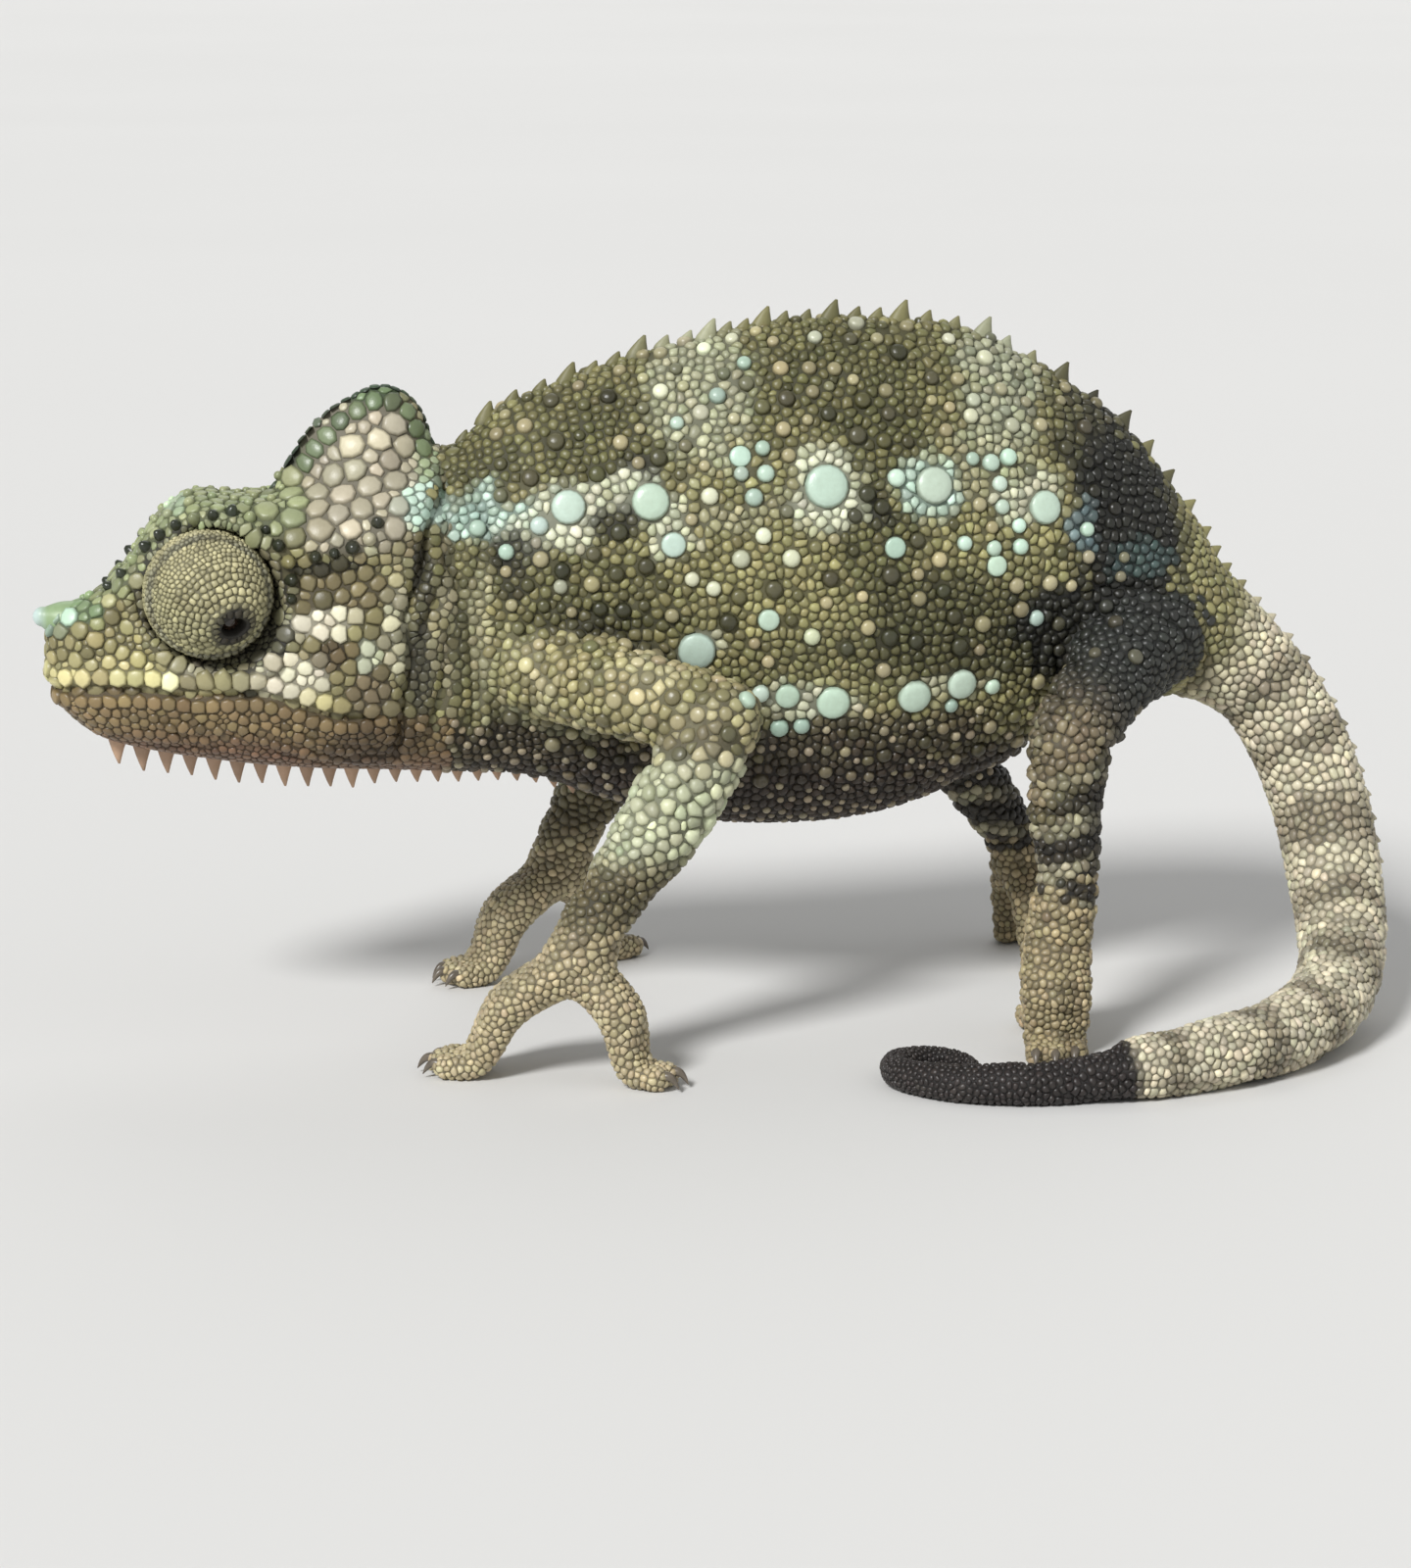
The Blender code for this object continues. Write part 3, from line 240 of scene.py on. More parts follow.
# %% The head's lines
# line: its points, each (x, half width, z)
HEAD_LINES = {
    "chin": ((-40.6, 0, 21.6), (-39.6, 0, 20.4), (-38.0, 0, 19.3), (-35.5, 0, 18.5), (-32.0, 0, 17.9),
             (-28.5, 0, 17.4), (-24.0, 0, 16.9), (-16.6, 0, 16.3)),
    "throat": ((-40.6, 0.5, 21.7), (-38.0, 1.5, 19.7), (-35.0, 2.0, 18.9), (-31.0, 2.5, 18.2),
               (-25.0, 3.0, 17.6), (-20.0, 3.0, 17.5), (-16.6, 2.9, 17.8)),
    "jaw": ((-40.6, 0.9, 22.0), (-39.0, 2.2, 21.2), (-36.0, 3.0, 20.4), (-32.0, 3.8, 19.8),
            (-28.0, 4.4, 19.4), (-24.0, 4.9, 19.4), (-20.0, 4.9, 19.9), (-16.6, 4.3, 20.4)),
    "lip": ((-40.6, 1.1, 22.8), (-39.0, 2.6, 22.9), (-36.0, 3.7, 22.9), (-32.0, 4.6, 22.6),
            (-28.0, 5.2, 22.5), (-24.0, 5.6, 22.3), (-20.0, 5.4, 22.6), (-16.6, 4.8, 23.2)),
    "cheek": ((-40.6, 1.3, 24.4), (-39.0, 2.6, 24.6), (-36.0, 3.6, 24.9), (-32.0, 4.6, 25.0),
              (-28.0, 5.3, 25.2), (-24.0, 5.8, 25.2), (-20.0, 5.6, 25.4), (-16.6, 4.9, 26.2)),
    "socket": ((-40.6, 1.3, 26.0), (-39.0, 2.3, 26.6), (-36.0, 2.9, 27.6), (-33.5, 3.0, 28.6),
               (-31.0, 3.2, 28.8), (-28.0, 4.3, 28.6), (-24.0, 5.5, 28.3), (-20.0, 5.4, 28.6),
               (-16.6, 4.9, 29.4)),
    "temple": ((-40.6, 1.2, 26.7), (-38.5, 2.2, 27.4), (-36.4, 2.9, 28.5), (-35.0, 3.1, 29.9),
               (-33.5, 3.3, 31.0), (-31.0, 3.6, 31.6), (-28.0, 4.3, 30.6), (-24.0, 5.0, 29.9),
               (-21.0, 5.0, 30.6), (-16.6, 4.6, 31.5)),
    "brow": ((-40.6, 1.0, 27.2), (-38.5, 1.9, 27.9), (-36.4, 2.6, 29.2), (-35.0, 3.0, 31.0),
             (-33.5, 3.5, 32.5), (-31.0, 4.0, 33.3), (-29.0, 4.3, 33.0), (-27.0, 5.0, 31.6),
             (-24.0, 5.6, 31.2), (-21.0, 5.6, 32.1), (-16.6, 4.2, 33.4)),
    "crown_side": ((-40.6, 0.5, 27.5), (-38.5, 1.1, 28.2), (-36.4, 1.6, 29.7), (-35.0, 1.9, 31.9),
                   (-33.5, 2.2, 33.4), (-31.0, 2.5, 34.2), (-28.0, 3.2, 34.0), (-24.0, 3.6, 34.2),
                   (-20.0, 3.5, 35.0), (-16.6, 2.4, 35.9)),
    "crown": ((-40.6, 0, 27.5), (-38.5, 0, 28.3), (-36.9, 0, 29.3), (-35.4, 0, 31.5), (-34.2, 0, 33.3),
              (-33.0, 0, 34.2), (-31.0, 0, 34.7), (-28.0, 0, 34.6), (-24.0, 0, 35.4), (-20.0, 0, 36.4),
              (-16.6, 0, 37.1)),
}
HEAD_FRONT, HEAD_BACK = -40.6, -16.6
SNOUT_ROUNDING = ((0.55, 0.35), (0.38, 0.72))  # how far ahead of the first section, and share of its size
MOUTH_LINE = ((-44.0, 22.7), (-41.0, 22.7), (-36.0, 22.9), (-32.0, 22.6), (-28.1, 22.6), (-26.3, 22.0),
              (-23.9, 21.2), (-21.8, 21.0))
# (z, front x, back x, half width)
CASQUE = (
    (31.6, -28.6, -17.4, 4.3),
    (33.4, -28.2, -17.2, 3.9),
    (35.0, -27.6, -17.1, 3.3),
    (36.5, -26.7, -17.0, 2.75),
    (38.0, -25.7, -17.0, 2.15),
    (39.3, -24.5, -17.3, 1.6),
    (40.3, -23.0, -18.1, 1.1),
    (41.0, -21.6, -19.2, 0.6),
)
CASQUE_FULLEST = 0.62  # how far back each slice is widest, as a share of its length
EYE_CENTRE, EYE_RADIUS = np.array([-31.35, 3.45, 28.75]), 3.95
EYE_GAZE, EYE_BACK = unit(np.array([0.36, 0.83, -0.43])), -2.4
SOCKET_AXIS = unit(np.array([0.22, 0.94, -0.24]))
SOCKET_RADIUS = EYE_RADIUS + 0.22  # the moat round the turret
NOSTRIL = np.array([-38.6, 1.9, 25.9])
HORN_BASE, HORN_TIP = np.array([-39.4, 0.0, 26.6]), np.array([-41.5, 0.0, 27.1])
print(len(HEAD_LINES), "lines of the head,", len(CASQUE), "slices of the casque")

# %% Sections of the head
def mirrored(side, *vectors):
    """The same places or directions on the left (-1) or the right (1)."""
    return [v * (1, side, 1) for v in vectors]


def head_rings(count, finer, grow):
    """The head's sections from the snout back, each through the head's lines at one x."""
    lines = [np.array(points, float) for points in HEAD_LINES.values()]
    rings = []
    for x in np.linspace(HEAD_FRONT, HEAD_BACK, count):
        places = [np.interp(x, line[:, 0], np.arange(len(line))) for line in lines]
        marks = np.array([smooth(line, [place])[0, 1:] for line, place in zip(lines, places)])
        stations = np.column_stack([marks, np.zeros(len(marks))])
        half = smooth(stations, np.linspace(0, len(marks) - 1, (len(marks) - 1) * finer + 1))[:, :2]
        out = unit(np.column_stack([half[:, 0], half[:, 1] - half[:, 1].mean()]))
        half = half + grow * out
        half[0, 0] = half[-1, 0] = 0.0
        ring = np.vstack([half * (-1, 1), half[-2:0:-1]])
        rings.append(np.column_stack([np.full(len(ring), x), ring]))
    front = rings[0]
    centre = front.mean(axis=0)
    for ahead, share in SNOUT_ROUNDING[::-1]:
        ring = centre + (front - centre) * share
        ring[:, 0] -= ahead
        rings.insert(0, ring)
    return np.array(rings)


def casque_rings(levels, sides, grow):
    """The casque's slices: a drop shape, narrow in front and full behind."""
    power = math.log(0.5) / math.log(CASQUE_FULLEST)
    share = (1 - np.cos(math.pi * np.arange(sides + 1) / sides)) / 2
    rings = []
    for z, front, back, half in smooth(CASQUE, np.linspace(0, len(CASQUE) - 1, levels)):
        width = (half + grow) * np.sin(math.pi * share**power).clip(0, 1) ** 0.75
        x = front - grow + (back - front + 2 * grow) * share
        left = np.column_stack([x, -width, np.full_like(x, z + grow)])
        right = np.column_stack([x, width, np.full_like(x, z + grow)])[-2:0:-1]
        rings.append(np.vstack([left, right]))
    return np.array(rings)


def turned_rings(profile, centre, axis, sides):
    """A turned shape: a profile of (along the axis, radius), set on a centre."""
    side = unit(np.cross(axis, (0.0, 0.0, 1.0)))
    up = np.cross(side, axis)
    angle = 2 * math.pi * np.arange(sides) / sides
    circle = np.cos(angle)[:, None] * side + np.sin(angle)[:, None] * up
    return np.array([centre + axis * along + radius * circle for along, radius in profile])


# %% [markdown]
# The lofts overlap where a limb meets the body. A voxel remesh joins them into one closed skin, and a few
# rounds of smoothing, strongest at the joints, turn the creases into flesh. Head and eyelids need more
# detail than the flanks, so the faces of the head are cut once more after the remesh.

# %% Helpers for joining lofts
SKIN_VOXEL = 0.40
THIN_COAT = COAT_DEPTH * 0.6  # on the toes and under the soles
HEAD_ENDS = -16.6


def loft(rings, close=True):
    """Corner points and faces through the rings, fanned at each end."""
    count, sides = rings.shape[:2]
    points = np.vstack([rings.reshape(-1, 3), rings[0].mean(axis=0), rings[-1].mean(axis=0)])
    last = (count - 1) * sides
    faces = []
    for j in range(sides):
        k = (j + 1) % sides
        faces += [(low + j, low + k, low + sides + k, low + sides + j) for low in range(0, last, sides)]
        if close:
            faces += [(k, j, len(points) - 2), (last + j, last + k, len(points) - 1)]
    return points, faces


def joined_lofts(lofts, lowest):
    """Corner points and faces of many lofts together, none of them below one height."""
    all_points, all_faces, offset = [], [], 0
    for rings in lofts:
        points, faces = loft(np.maximum(rings, (-np.inf, -np.inf, lowest)))
        all_points.append(points)
        all_faces += [tuple(i + offset for i in face) for face in faces]
        offset += len(points)
    return np.vstack(all_points), all_faces


def in_frame(points):
    """Points in metres in the CAD model's frame, from points in the animal's own millimetres."""
    return ((np.asarray(points) + BODY_SHIFT) * METRES).tolist()


def placed(name, data):
    """A mesh, a lamp or a camera as an object in the scene."""
    made = bpy.data.objects.new(name, data)
    bpy.context.scene.collection.objects.link(made)
    return made


def mesh_object(name, points, faces):
    """A smooth mesh object, with its doubled corners joined and its faces turned outwards."""
    data = bpy.data.meshes.new(name)
    data.from_pydata(in_frame(points), [], faces)
    mesh = bmesh.new()
    mesh.from_mesh(data)
    bmesh.ops.remove_doubles(mesh, verts=mesh.verts, dist=1e-7)
    bmesh.ops.recalc_face_normals(mesh, faces=mesh.faces)
    mesh.to_mesh(data)
    mesh.free()
    data.shade_smooth()
    return placed(name, data)


def applied(obj):
    """Turns an object's modifiers into plain mesh."""
    bpy.context.view_layer.update()
    graph = bpy.context.evaluated_depsgraph_get()
    shown = obj.evaluated_get(graph)
    obj.data = bpy.data.meshes.new_from_object(shown, preserve_all_data_layers=True, depsgraph=graph)
    obj.modifiers.clear()
    return obj

# %% Loft every part and join the lofts
SKIN_LOFTS = {
    "trunk": spine_rings(np.linspace(0.85, TAIL_STARTS, 150), 96, -COAT_DEPTH),
    "tail": spine_rings(np.linspace(TAIL_STARTS - 0.4, len(SPINE) - 1, 420), 40, -COAT_DEPTH / 2),
    "head": head_rings(90, 6, -COAT_DEPTH),
    "casque": casque_rings(36, 28, -COAT_DEPTH),
}
for limb, line in LIMBS.items():
    SKIN_LOFTS[limb] = limb_rings(line, 26, 28, -COAT_DEPTH)
for bundle, (_, _, count, _) in TOES.items():
    for toe in range(count):
        SKIN_LOFTS[f"{bundle}_{toe}"] = limb_rings(toe_line(bundle, toe)[0], 22, 16, -THIN_COAT)
    SKIN_LOFTS[f"{bundle}_web"] = limb_rings(toe_web(bundle), 12, 16, -THIN_COAT)
neck = neck_rings(26, SKIN_LOFTS["head"][-1], -COAT_DEPTH)
SKIN_LOFTS["neck"] = np.concatenate([neck[:1] - (0.9, 0, 0), neck])

points, faces = joined_lofts(SKIN_LOFTS.values(), THIN_COAT)
skin = placed("skin", bpy.data.meshes.new("skin"))
skin.data.from_pydata(in_frame(points), [], faces)
remesh = skin.modifiers.new("one skin", "REMESH")
remesh.mode = "VOXEL"
remesh.voxel_size = SKIN_VOXEL * METRES
applied(skin)
print(len(SKIN_LOFTS), "lofts joined")

# %% Helpers for a mesh's points
def corners(data):
    """A mesh's points, in the animal's own millimetres."""
    out = np.empty(len(data.vertices) * 3)
    data.vertices.foreach_get("co", out)
    return out.reshape(-1, 3) / METRES - BODY_SHIFT


def set_corners(data, points):
    """Moves a mesh's points, given in the animal's own millimetres."""
    data.vertices.foreach_set("co", ((points + BODY_SHIFT) * METRES).ravel())
    data.update()


def edges_of(data):
    out = np.empty(len(data.edges) * 2, int)
    data.edges.foreach_get("vertices", out)
    return out.reshape(-1, 2)


def triangles_in(obj):
    return sum(len(f.vertices) - 2 for f in obj.data.polygons)


def relaxed(points, edges, amount, rounds):
    """Moves each point towards its neighbours' middle, by its own amount."""
    count = np.bincount(edges.ravel(), minlength=len(points))[:, None].clip(1)
    for _ in range(rounds):
        total = np.column_stack([
            np.bincount(edges[:, 0], points[edges[:, 1], k], len(points))
            + np.bincount(edges[:, 1], points[edges[:, 0], k], len(points)) for k in range(3)])
        points = points + amount[:, None] * (total / count - points)
    return points

# %% Soften the joints and refine the head
# Each joint: its place, with y the same on both sides, and how far the softening reaches.
JOINTS = ((-9.5, 5.2, 23.2, 3.2), (-0.9, 10.8, 21.2, 2.2), (-8.6, 13.0, 10.2, 2.2), (-10.4, 13.7, 7.3, 2.6),
          (26.5, 4.6, 23.4, 4.5), (21.2, 10.4, 19.4, 2.2), (20.6, 12.0, 10.0, 2.2), (20.0, 12.3, 7.2, 2.6),
          (-2.6, 10.6, 19.4, 2.2), (-7.1, 12.0, 9.6, 2.2), (-7.9, 12.3, 7.0, 2.6), (17.6, 9.8, 16.4, 2.2),
          (23.2, 11.0, 8.2, 2.2), (23.8, 11.2, 6.4, 2.6), (-16.6, 4.6, 27.0, 4.0), (-16.6, 2.0, 36.5, 3.0),
          (-23.0, 4.0, 34.0, 3.4), (31.0, 3.0, 25.0, 3.5))
points, edges = corners(skin.data), edges_of(skin.data)
at_joint = np.zeros(len(points))
for *place, reach in JOINTS:
    away = np.linalg.norm(np.where([False, True, False], np.abs(points), points) - place, axis=1) / reach
    at_joint = np.maximum(at_joint, np.clip(1.5 - away, 0, 1))
thick = np.clip((points[:, 2] - 4) / 4, 0, 1)
points = relaxed(points, edges, 0.08 * thick + 0.5 * at_joint, 14)
set_corners(skin.data, points)

mesh = bmesh.new()
mesh.from_mesh(skin.data)
fine_ends = (HEAD_ENDS - 0.6 + BODY_SHIFT[0]) * METRES
head_edges = [e for e in mesh.edges if max(v.co.x for v in e.verts) < fine_ends
              and e.verts[0].co.z > 12 * METRES]
bmesh.ops.subdivide_edges(mesh, edges=head_edges, cuts=1, use_grid_fill=True)
bmesh.ops.triangulate(mesh, faces=[f for f in mesh.faces if len(f.verts) > 4])
mesh.to_mesh(skin.data)
mesh.free()
points, edges = corners(skin.data), edges_of(skin.data)
points = relaxed(points, edges, 0.4 * ((points[:, 0] < HEAD_ENDS) & (points[:, 2] > 11)), 3)
print("skin", len(points), "points,", triangles_in(skin), "triangles")

# %% [markdown]
# Living skin isn't a smooth tube. It folds behind the head, in the armpit and at the knee, wrinkles across
# the flank, opens at the mouth and nostril, and sinks into a moat round each eye turret. Moving the skin's
# own points along their normals gives these forms, and the scales laid on top later follow them.

# %% Helpers for folds
def skin_normals(points):
    """Puts the skin's points in place, and gives the outward direction at each."""
    set_corners(skin.data, points)
    out = np.empty(len(points) * 3)
    skin.data.vertices.foreach_get("normal", out)
    return out.reshape(-1, 3)


def bump(distance, width):
    """1 at no distance, falling smoothly to 0 within about twice the width."""
    return np.exp(-(distance / width) ** 2)


def step(low, high, value):
    """A smooth rise from 0 at low to 1 at high."""
    t = np.clip((value - low) / (high - low), 0, 1)
    return t * t * (3 - 2 * t)


def furrows(value, pitch, middle, width):
    """Narrow hollows that come back at each pitch."""
    return bump(np.mod(value, pitch) - middle, width)


def ripple(points, scale, seed=0.0):
    """Smooth noise from -1 to 1 at each point."""
    return np.array([noise.noise(Vector((x / scale + seed, y / scale, z / scale))) for x, y, z in points])


def away_from(place):
    """How far each point is from a place that both sides share."""
    return np.linalg.norm(np.column_stack([X, side_y, Z]) - place, axis=1)

# %% Folds of neck, flank and limbs
normals = skin_normals(points)
X, Y, Z = points.T
side_y = np.abs(Y)
lift = np.zeros(len(points))

NECK_FOLDS = (  # (x at mid height, lean, depth)
    (-18.9, 0.19, 0.72), (-17.9, 0.13, 0.28), (-16.9, 0.07, 0.36), (-15.8, 0.0, 0.26), (-14.8, -0.06, 0.24),
    (-13.8, -0.12, 0.2), (-12.7, -0.16, 0.16),
)
for x0, lean, depth in NECK_FOLDS:
    line = x0 + lean * (Z - 27) + 0.45 * np.sin(Z * 0.42 + x0 * 1.7) + 0.2 * np.sin(Z * 1.1 + x0)
    lift -= depth * bump(X - line, 0.36) * step(17.5, 20, Z) * (1 - step(34.5, 37, Z))
on_trunk = step(-12, -8, X) * (1 - step(26, 31, X)) * step(13, 17, Z) * (side_y < 9)
lift += on_trunk * 0.07 * np.sin(X * 4.6 + 1.3 * np.sin(Z * 0.5) + 0.8 * np.sin(Z * 1.1 + X * 0.3))
lift += on_trunk * 0.05 * np.sin(Z * 4.9 + 1.1 * np.sin(X * 0.6) + 0.7 * np.sin(X * 1.3 + Z * 0.4))
shoulder = np.hypot(X + 7.5, (Z - 24.5) * 1.3)
lift -= 0.24 * furrows(shoulder, 1.5, 0.75, 0.33) * (1 - step(4.5, 8.5, shoulder)) * (side_y < 9) * (Z > 21)
groin = np.hypot(X - 26.0, (Z - 23.0) * 1.2)
lift -= 0.26 * furrows(groin, 1.7, 0.8, 0.36) * (1 - step(5, 8.5, groin)) * step(1.5, 4, groin)
for elbow in ((-0.9, 10.8, 21.2), (-2.6, 10.6, 19.4)):
    away = away_from(elbow)
    lift -= 0.22 * furrows(away, 1.1, 0.55, 0.25) * (1 - step(1.5, 4.5, away))
for knee in ((21.2, 10.4, 19.4), (17.6, 9.8, 16.4)):
    away = away_from(knee)
    creases = furrows(Z + 0.25 * X, 1.15, 0.55, 0.26) * (1 - step(2, 6.5, away))
    lift += 0.25 * bump(away - 2.4, 1.4) - 0.24 * creases
hind = (side_y > 8) * (X > 15) * (Z < 19)
lift -= 0.18 * hind * furrows(Z + 0.15 * X, 1.35, 0.6, 0.3)
on_arm = (side_y > 9) * (X < 2) * (Z > 6) * (Z < 20)
lift -= 0.14 * on_arm * furrows(Z - 0.55 * X, 1.5, 0.7, 0.3)
print("deepest fold", round(-float(lift.min()), 2), "mm")

# %% Mouth and nostrils
MOUTH = smooth([(*mark, 0.0) for mark in MOUTH_LINE], np.linspace(0, len(MOUTH_LINE) - 1, 60))
mouth_z = np.interp(X, MOUTH[:, 0], MOUTH[:, 1])
at_mouth = (X < -20.2) * (1 - step(-22.2, -20.2, X) * 0.8) * (Z > 19) * (Z < 26)
lift -= 0.34 * bump(Z - mouth_z, 0.24) * at_mouth
lift += 0.16 * (bump(Z - mouth_z - 0.8, 0.5) + 0.8 * bump(Z - mouth_z + 0.75, 0.5)) * at_mouth
for drop, depth in ((1.9, 0.13), (2.7, 0.17), (3.5, 0.13)):
    line = mouth_z - drop + 0.12 * np.sin(X * 0.9 + drop * 3)
    lift -= depth * bump(Z - line, 0.2) * step(-38, -34, X) * step(-18.5, -20.5, X)
for side in (-1, 1):
    away = np.linalg.norm(points - mirrored(side, NOSTRIL), axis=1)
    lift += 0.14 * bump(away - 0.75, 0.3) - 0.55 * bump(away, 0.42)
casque_front = np.hypot(X + 27.6, (Z - 36.0) * 0.6)
lift -= 0.12 * bump(casque_front, 1.0) * (side_y < 3.5)
points = points + normals * lift[:, None]

# %% Eye sockets
# How deep each point lies in a fold; the scales there get painted shade from it later.
crease = np.clip(-lift / 0.26, 0, 1)

for side in (-1, 1):
    centre, gaze = mirrored(side, EYE_CENTRE, SOCKET_AXIS)
    offset = points - centre
    depth = offset @ gaze
    away = np.linalg.norm(offset - depth[:, None] * gaze, axis=1)
    near = (np.sign(points[:, 1]) == side) & (np.abs(depth) < 5)
    dish = -np.minimum(np.sqrt(np.clip(SOCKET_RADIUS**2 - away**2, 0, None)), 1.25)
    sunk = np.clip(depth - dish, 0, None) * (away < SOCKET_RADIUS)
    points[near] -= (gaze * sunk[:, None])[near]
    rim = 0.26 * bump(away - SOCKET_RADIUS - 0.5, 0.42) - 0.1 * bump(away - SOCKET_RADIUS - 1.15, 0.25)
    points[near] += (normals * rim[:, None])[near]
points[:, 2] = np.maximum(points[:, 2], 0.03)
normals = skin_normals(points)
print("skin box", points.min(axis=0).round(1), points.max(axis=0).round(1))

# %% [markdown]
# The animal's markings are patches of colour with soft, uneven edges: pale mint spots with whitish haloes
# along the flank, dark olive saddles between them, a near-black rump, a pale banded tail that ends dark.
# A few patches are painted shade: in the folds behind the head, round the upper arm, below and behind the
# eye, and by the thigh. Each patch is named, with its place, size and colour. The same function colours
# the skin and each scale, so the two agree, and it reads only a point's place.

# %% The colours


def srgb(*rgb):
    """A colour of 0 to 255 as linear light."""
    c = np.array(rgb) / 255
    return np.where(c <= 0.04045, c / 12.92, ((c + 0.055) / 1.055) ** 2.4)


OLIVE, DEEP_OLIVE, BLACKISH = srgb(156, 151, 104), srgb(98, 96, 60), srgb(36, 36, 30)
MINT, CHALK, WARM_GREY = srgb(198, 224, 208), srgb(214, 217, 190), srgb(164, 163, 132)
BELLY_BROWN, THROAT_ROSE, RED_BROWN = srgb(58, 48, 38), srgb(132, 102, 78), srgb(66, 50, 36)
HEAD_GREEN, SNOUT_OLIVE, LIP_CREAM = srgb(150, 158, 118), srgb(146, 139, 98), srgb(212, 205, 150)
PLATE_CREAM, RIM_GREEN, TEMPLE_OLIVE = srgb(184, 177, 154), srgb(108, 128, 92), srgb(128, 117, 84)
CREAM, JAW_OLIVE, HORN_GREEN = srgb(234, 228, 202), srgb(136, 117, 82), srgb(168, 194, 172)

# %% The patches of flank and head
# name: (x, z, half length, half height, colour, strength)
FLANK_PATCHES = {
    "upper back dark": (3.0, 41.0, 24.0, 4.0, DEEP_OLIVE, 0.55),
    "back behind the middle": (8.5, 41.5, 5.2, 4.2, DEEP_OLIVE, 0.75),
    "shoulder saddle": (-7.2, 37.0, 5.0, 3.4, DEEP_OLIVE, 0.75),
    "nape": (-14.4, 36.6, 2.4, 2.6, DEEP_OLIVE, 0.8),
    "pale back": (-0.8, 40.4, 3.6, 4.8, srgb(184, 186, 156), 0.8),
    "pale rump saddle": (18.3, 40.0, 2.9, 5.2, srgb(170, 174, 148), 0.85),
    "saddle foot": (17.0, 35.6, 3.4, 2.6, WARM_GREY, 0.6),
    "dark above the third spot": (10.2, 37.0, 3.0, 2.8, DEEP_OLIVE, 0.95),
    "dark below the third spot": (9.6, 31.0, 3.2, 3.6, DEEP_OLIVE, 0.9),
    "flank olive": (-6.0, 28.8, 9.0, 2.6, DEEP_OLIVE, 0.55),
    # painted shade along the top of the upper arm
    "painted shade above the arm": (-7.0, 26.9, 6.5, 0.7, DEEP_OLIVE * 0.7, 0.8),
    "mid flank": (1.6, 29.5, 6.5, 3.4, OLIVE, 0.6),
    "low dark": (14.6, 25.6, 7.5, 4.2, DEEP_OLIVE * 0.6, 0.85),
    "behind the elbow": (4.0, 24.2, 4.5, 1.8, DEEP_OLIVE, 0.4),
    # The rump and groin are near-black: the animal's own dark colour, darkened further as painted shadow
    # beside the thigh.
    "rump": (26.4, 31.0, 4.6, 8.6, BLACKISH, 1.0),
    "rump top": (24.0, 37.6, 3.2, 4.6, BLACKISH, 0.7),
    "groin": (23.2, 25.0, 5.4, 3.8, BLACKISH, 0.97),
    "belly": (6.0, 14.6, 26.0, 4.6, BELLY_BROWN, 0.9),
    "flank shade": (8.0, 19.2, 12.0, 1.8, BELLY_BROWN, 0.8),
    "chest": (-11.5, 17.8, 8.5, 2.6, BELLY_BROWN, 0.9),
    "neck band": (-14.4, 33.0, 5.0, 1.5, MINT, 1.0),
    "behind the band": (-10.8, 32.2, 3.2, 1.6, CHALK, 0.8),
    "first halo": (-9.2, 33.6, 2.5, 2.1, CHALK, 1.0),
    "second halo": (-4.6, 34.0, 2.5, 1.9, CHALK, 0.9),
    "second halo tail": (-3.2, 31.8, 1.5, 1.4, CHALK, 0.7),
    "between the haloes": (1.0, 33.4, 3.4, 1.3, WARM_GREY, 0.6),
    "third halo": (6.3, 34.4, 2.7, 2.6, CHALK, 1.0),
    "fourth halo": (13.2, 34.6, 2.5, 2.2, MINT, 0.9),
    "fifth halo": (19.4, 33.6, 2.6, 1.7, CHALK, 0.75),
    "blue rump spots": (23.0, 31.8, 1.2, 1.9, srgb(120, 142, 146), 0.7),
    "blue rump bar": (27.2, 29.4, 2.6, 1.1, srgb(74, 94, 92), 0.7),
    "shoulder": (-13.4, 24.0, 3.0, 2.6, srgb(176, 172, 128), 0.8),
    "under the shoulder": (-9.0, 20.6, 6.0, 1.0, WARM_GREY, 0.6),
    "low first halo": (-1.7, 24.8, 1.6, 1.5, CHALK, 0.9),
    "low second halo": (5.8, 21.4, 2.9, 1.5, CHALK, 0.75),
    "low third row": (14.4, 22.0, 3.6, 1.0, CHALK, 0.35),
    "dark spot a": (-6.6, 32.6, 1.0, 1.4, BLACKISH, 0.75),
    "dark spot b": (-5.4, 35.9, 1.5, 0.9, BLACKISH, 0.6),
    "dark spot c": (9.6, 33.6, 1.0, 1.5, BLACKISH, 0.65),
    "dark neck": (-13.0, 29.8, 1.2, 2.4, BLACKISH, 0.6),
    # painted shade in the folds behind the head
    "painted shade in the nape wrinkles": (-16.6, 27.0, 0.7, 5.0, BLACKISH, 0.55),
    "pale neck strip": (-14.8, 25.4, 0.9, 5.2, srgb(184, 180, 144), 0.75),
    "behind the neck band": (-12.4, 30.8, 2.4, 0.9, BLACKISH, 0.6),
}
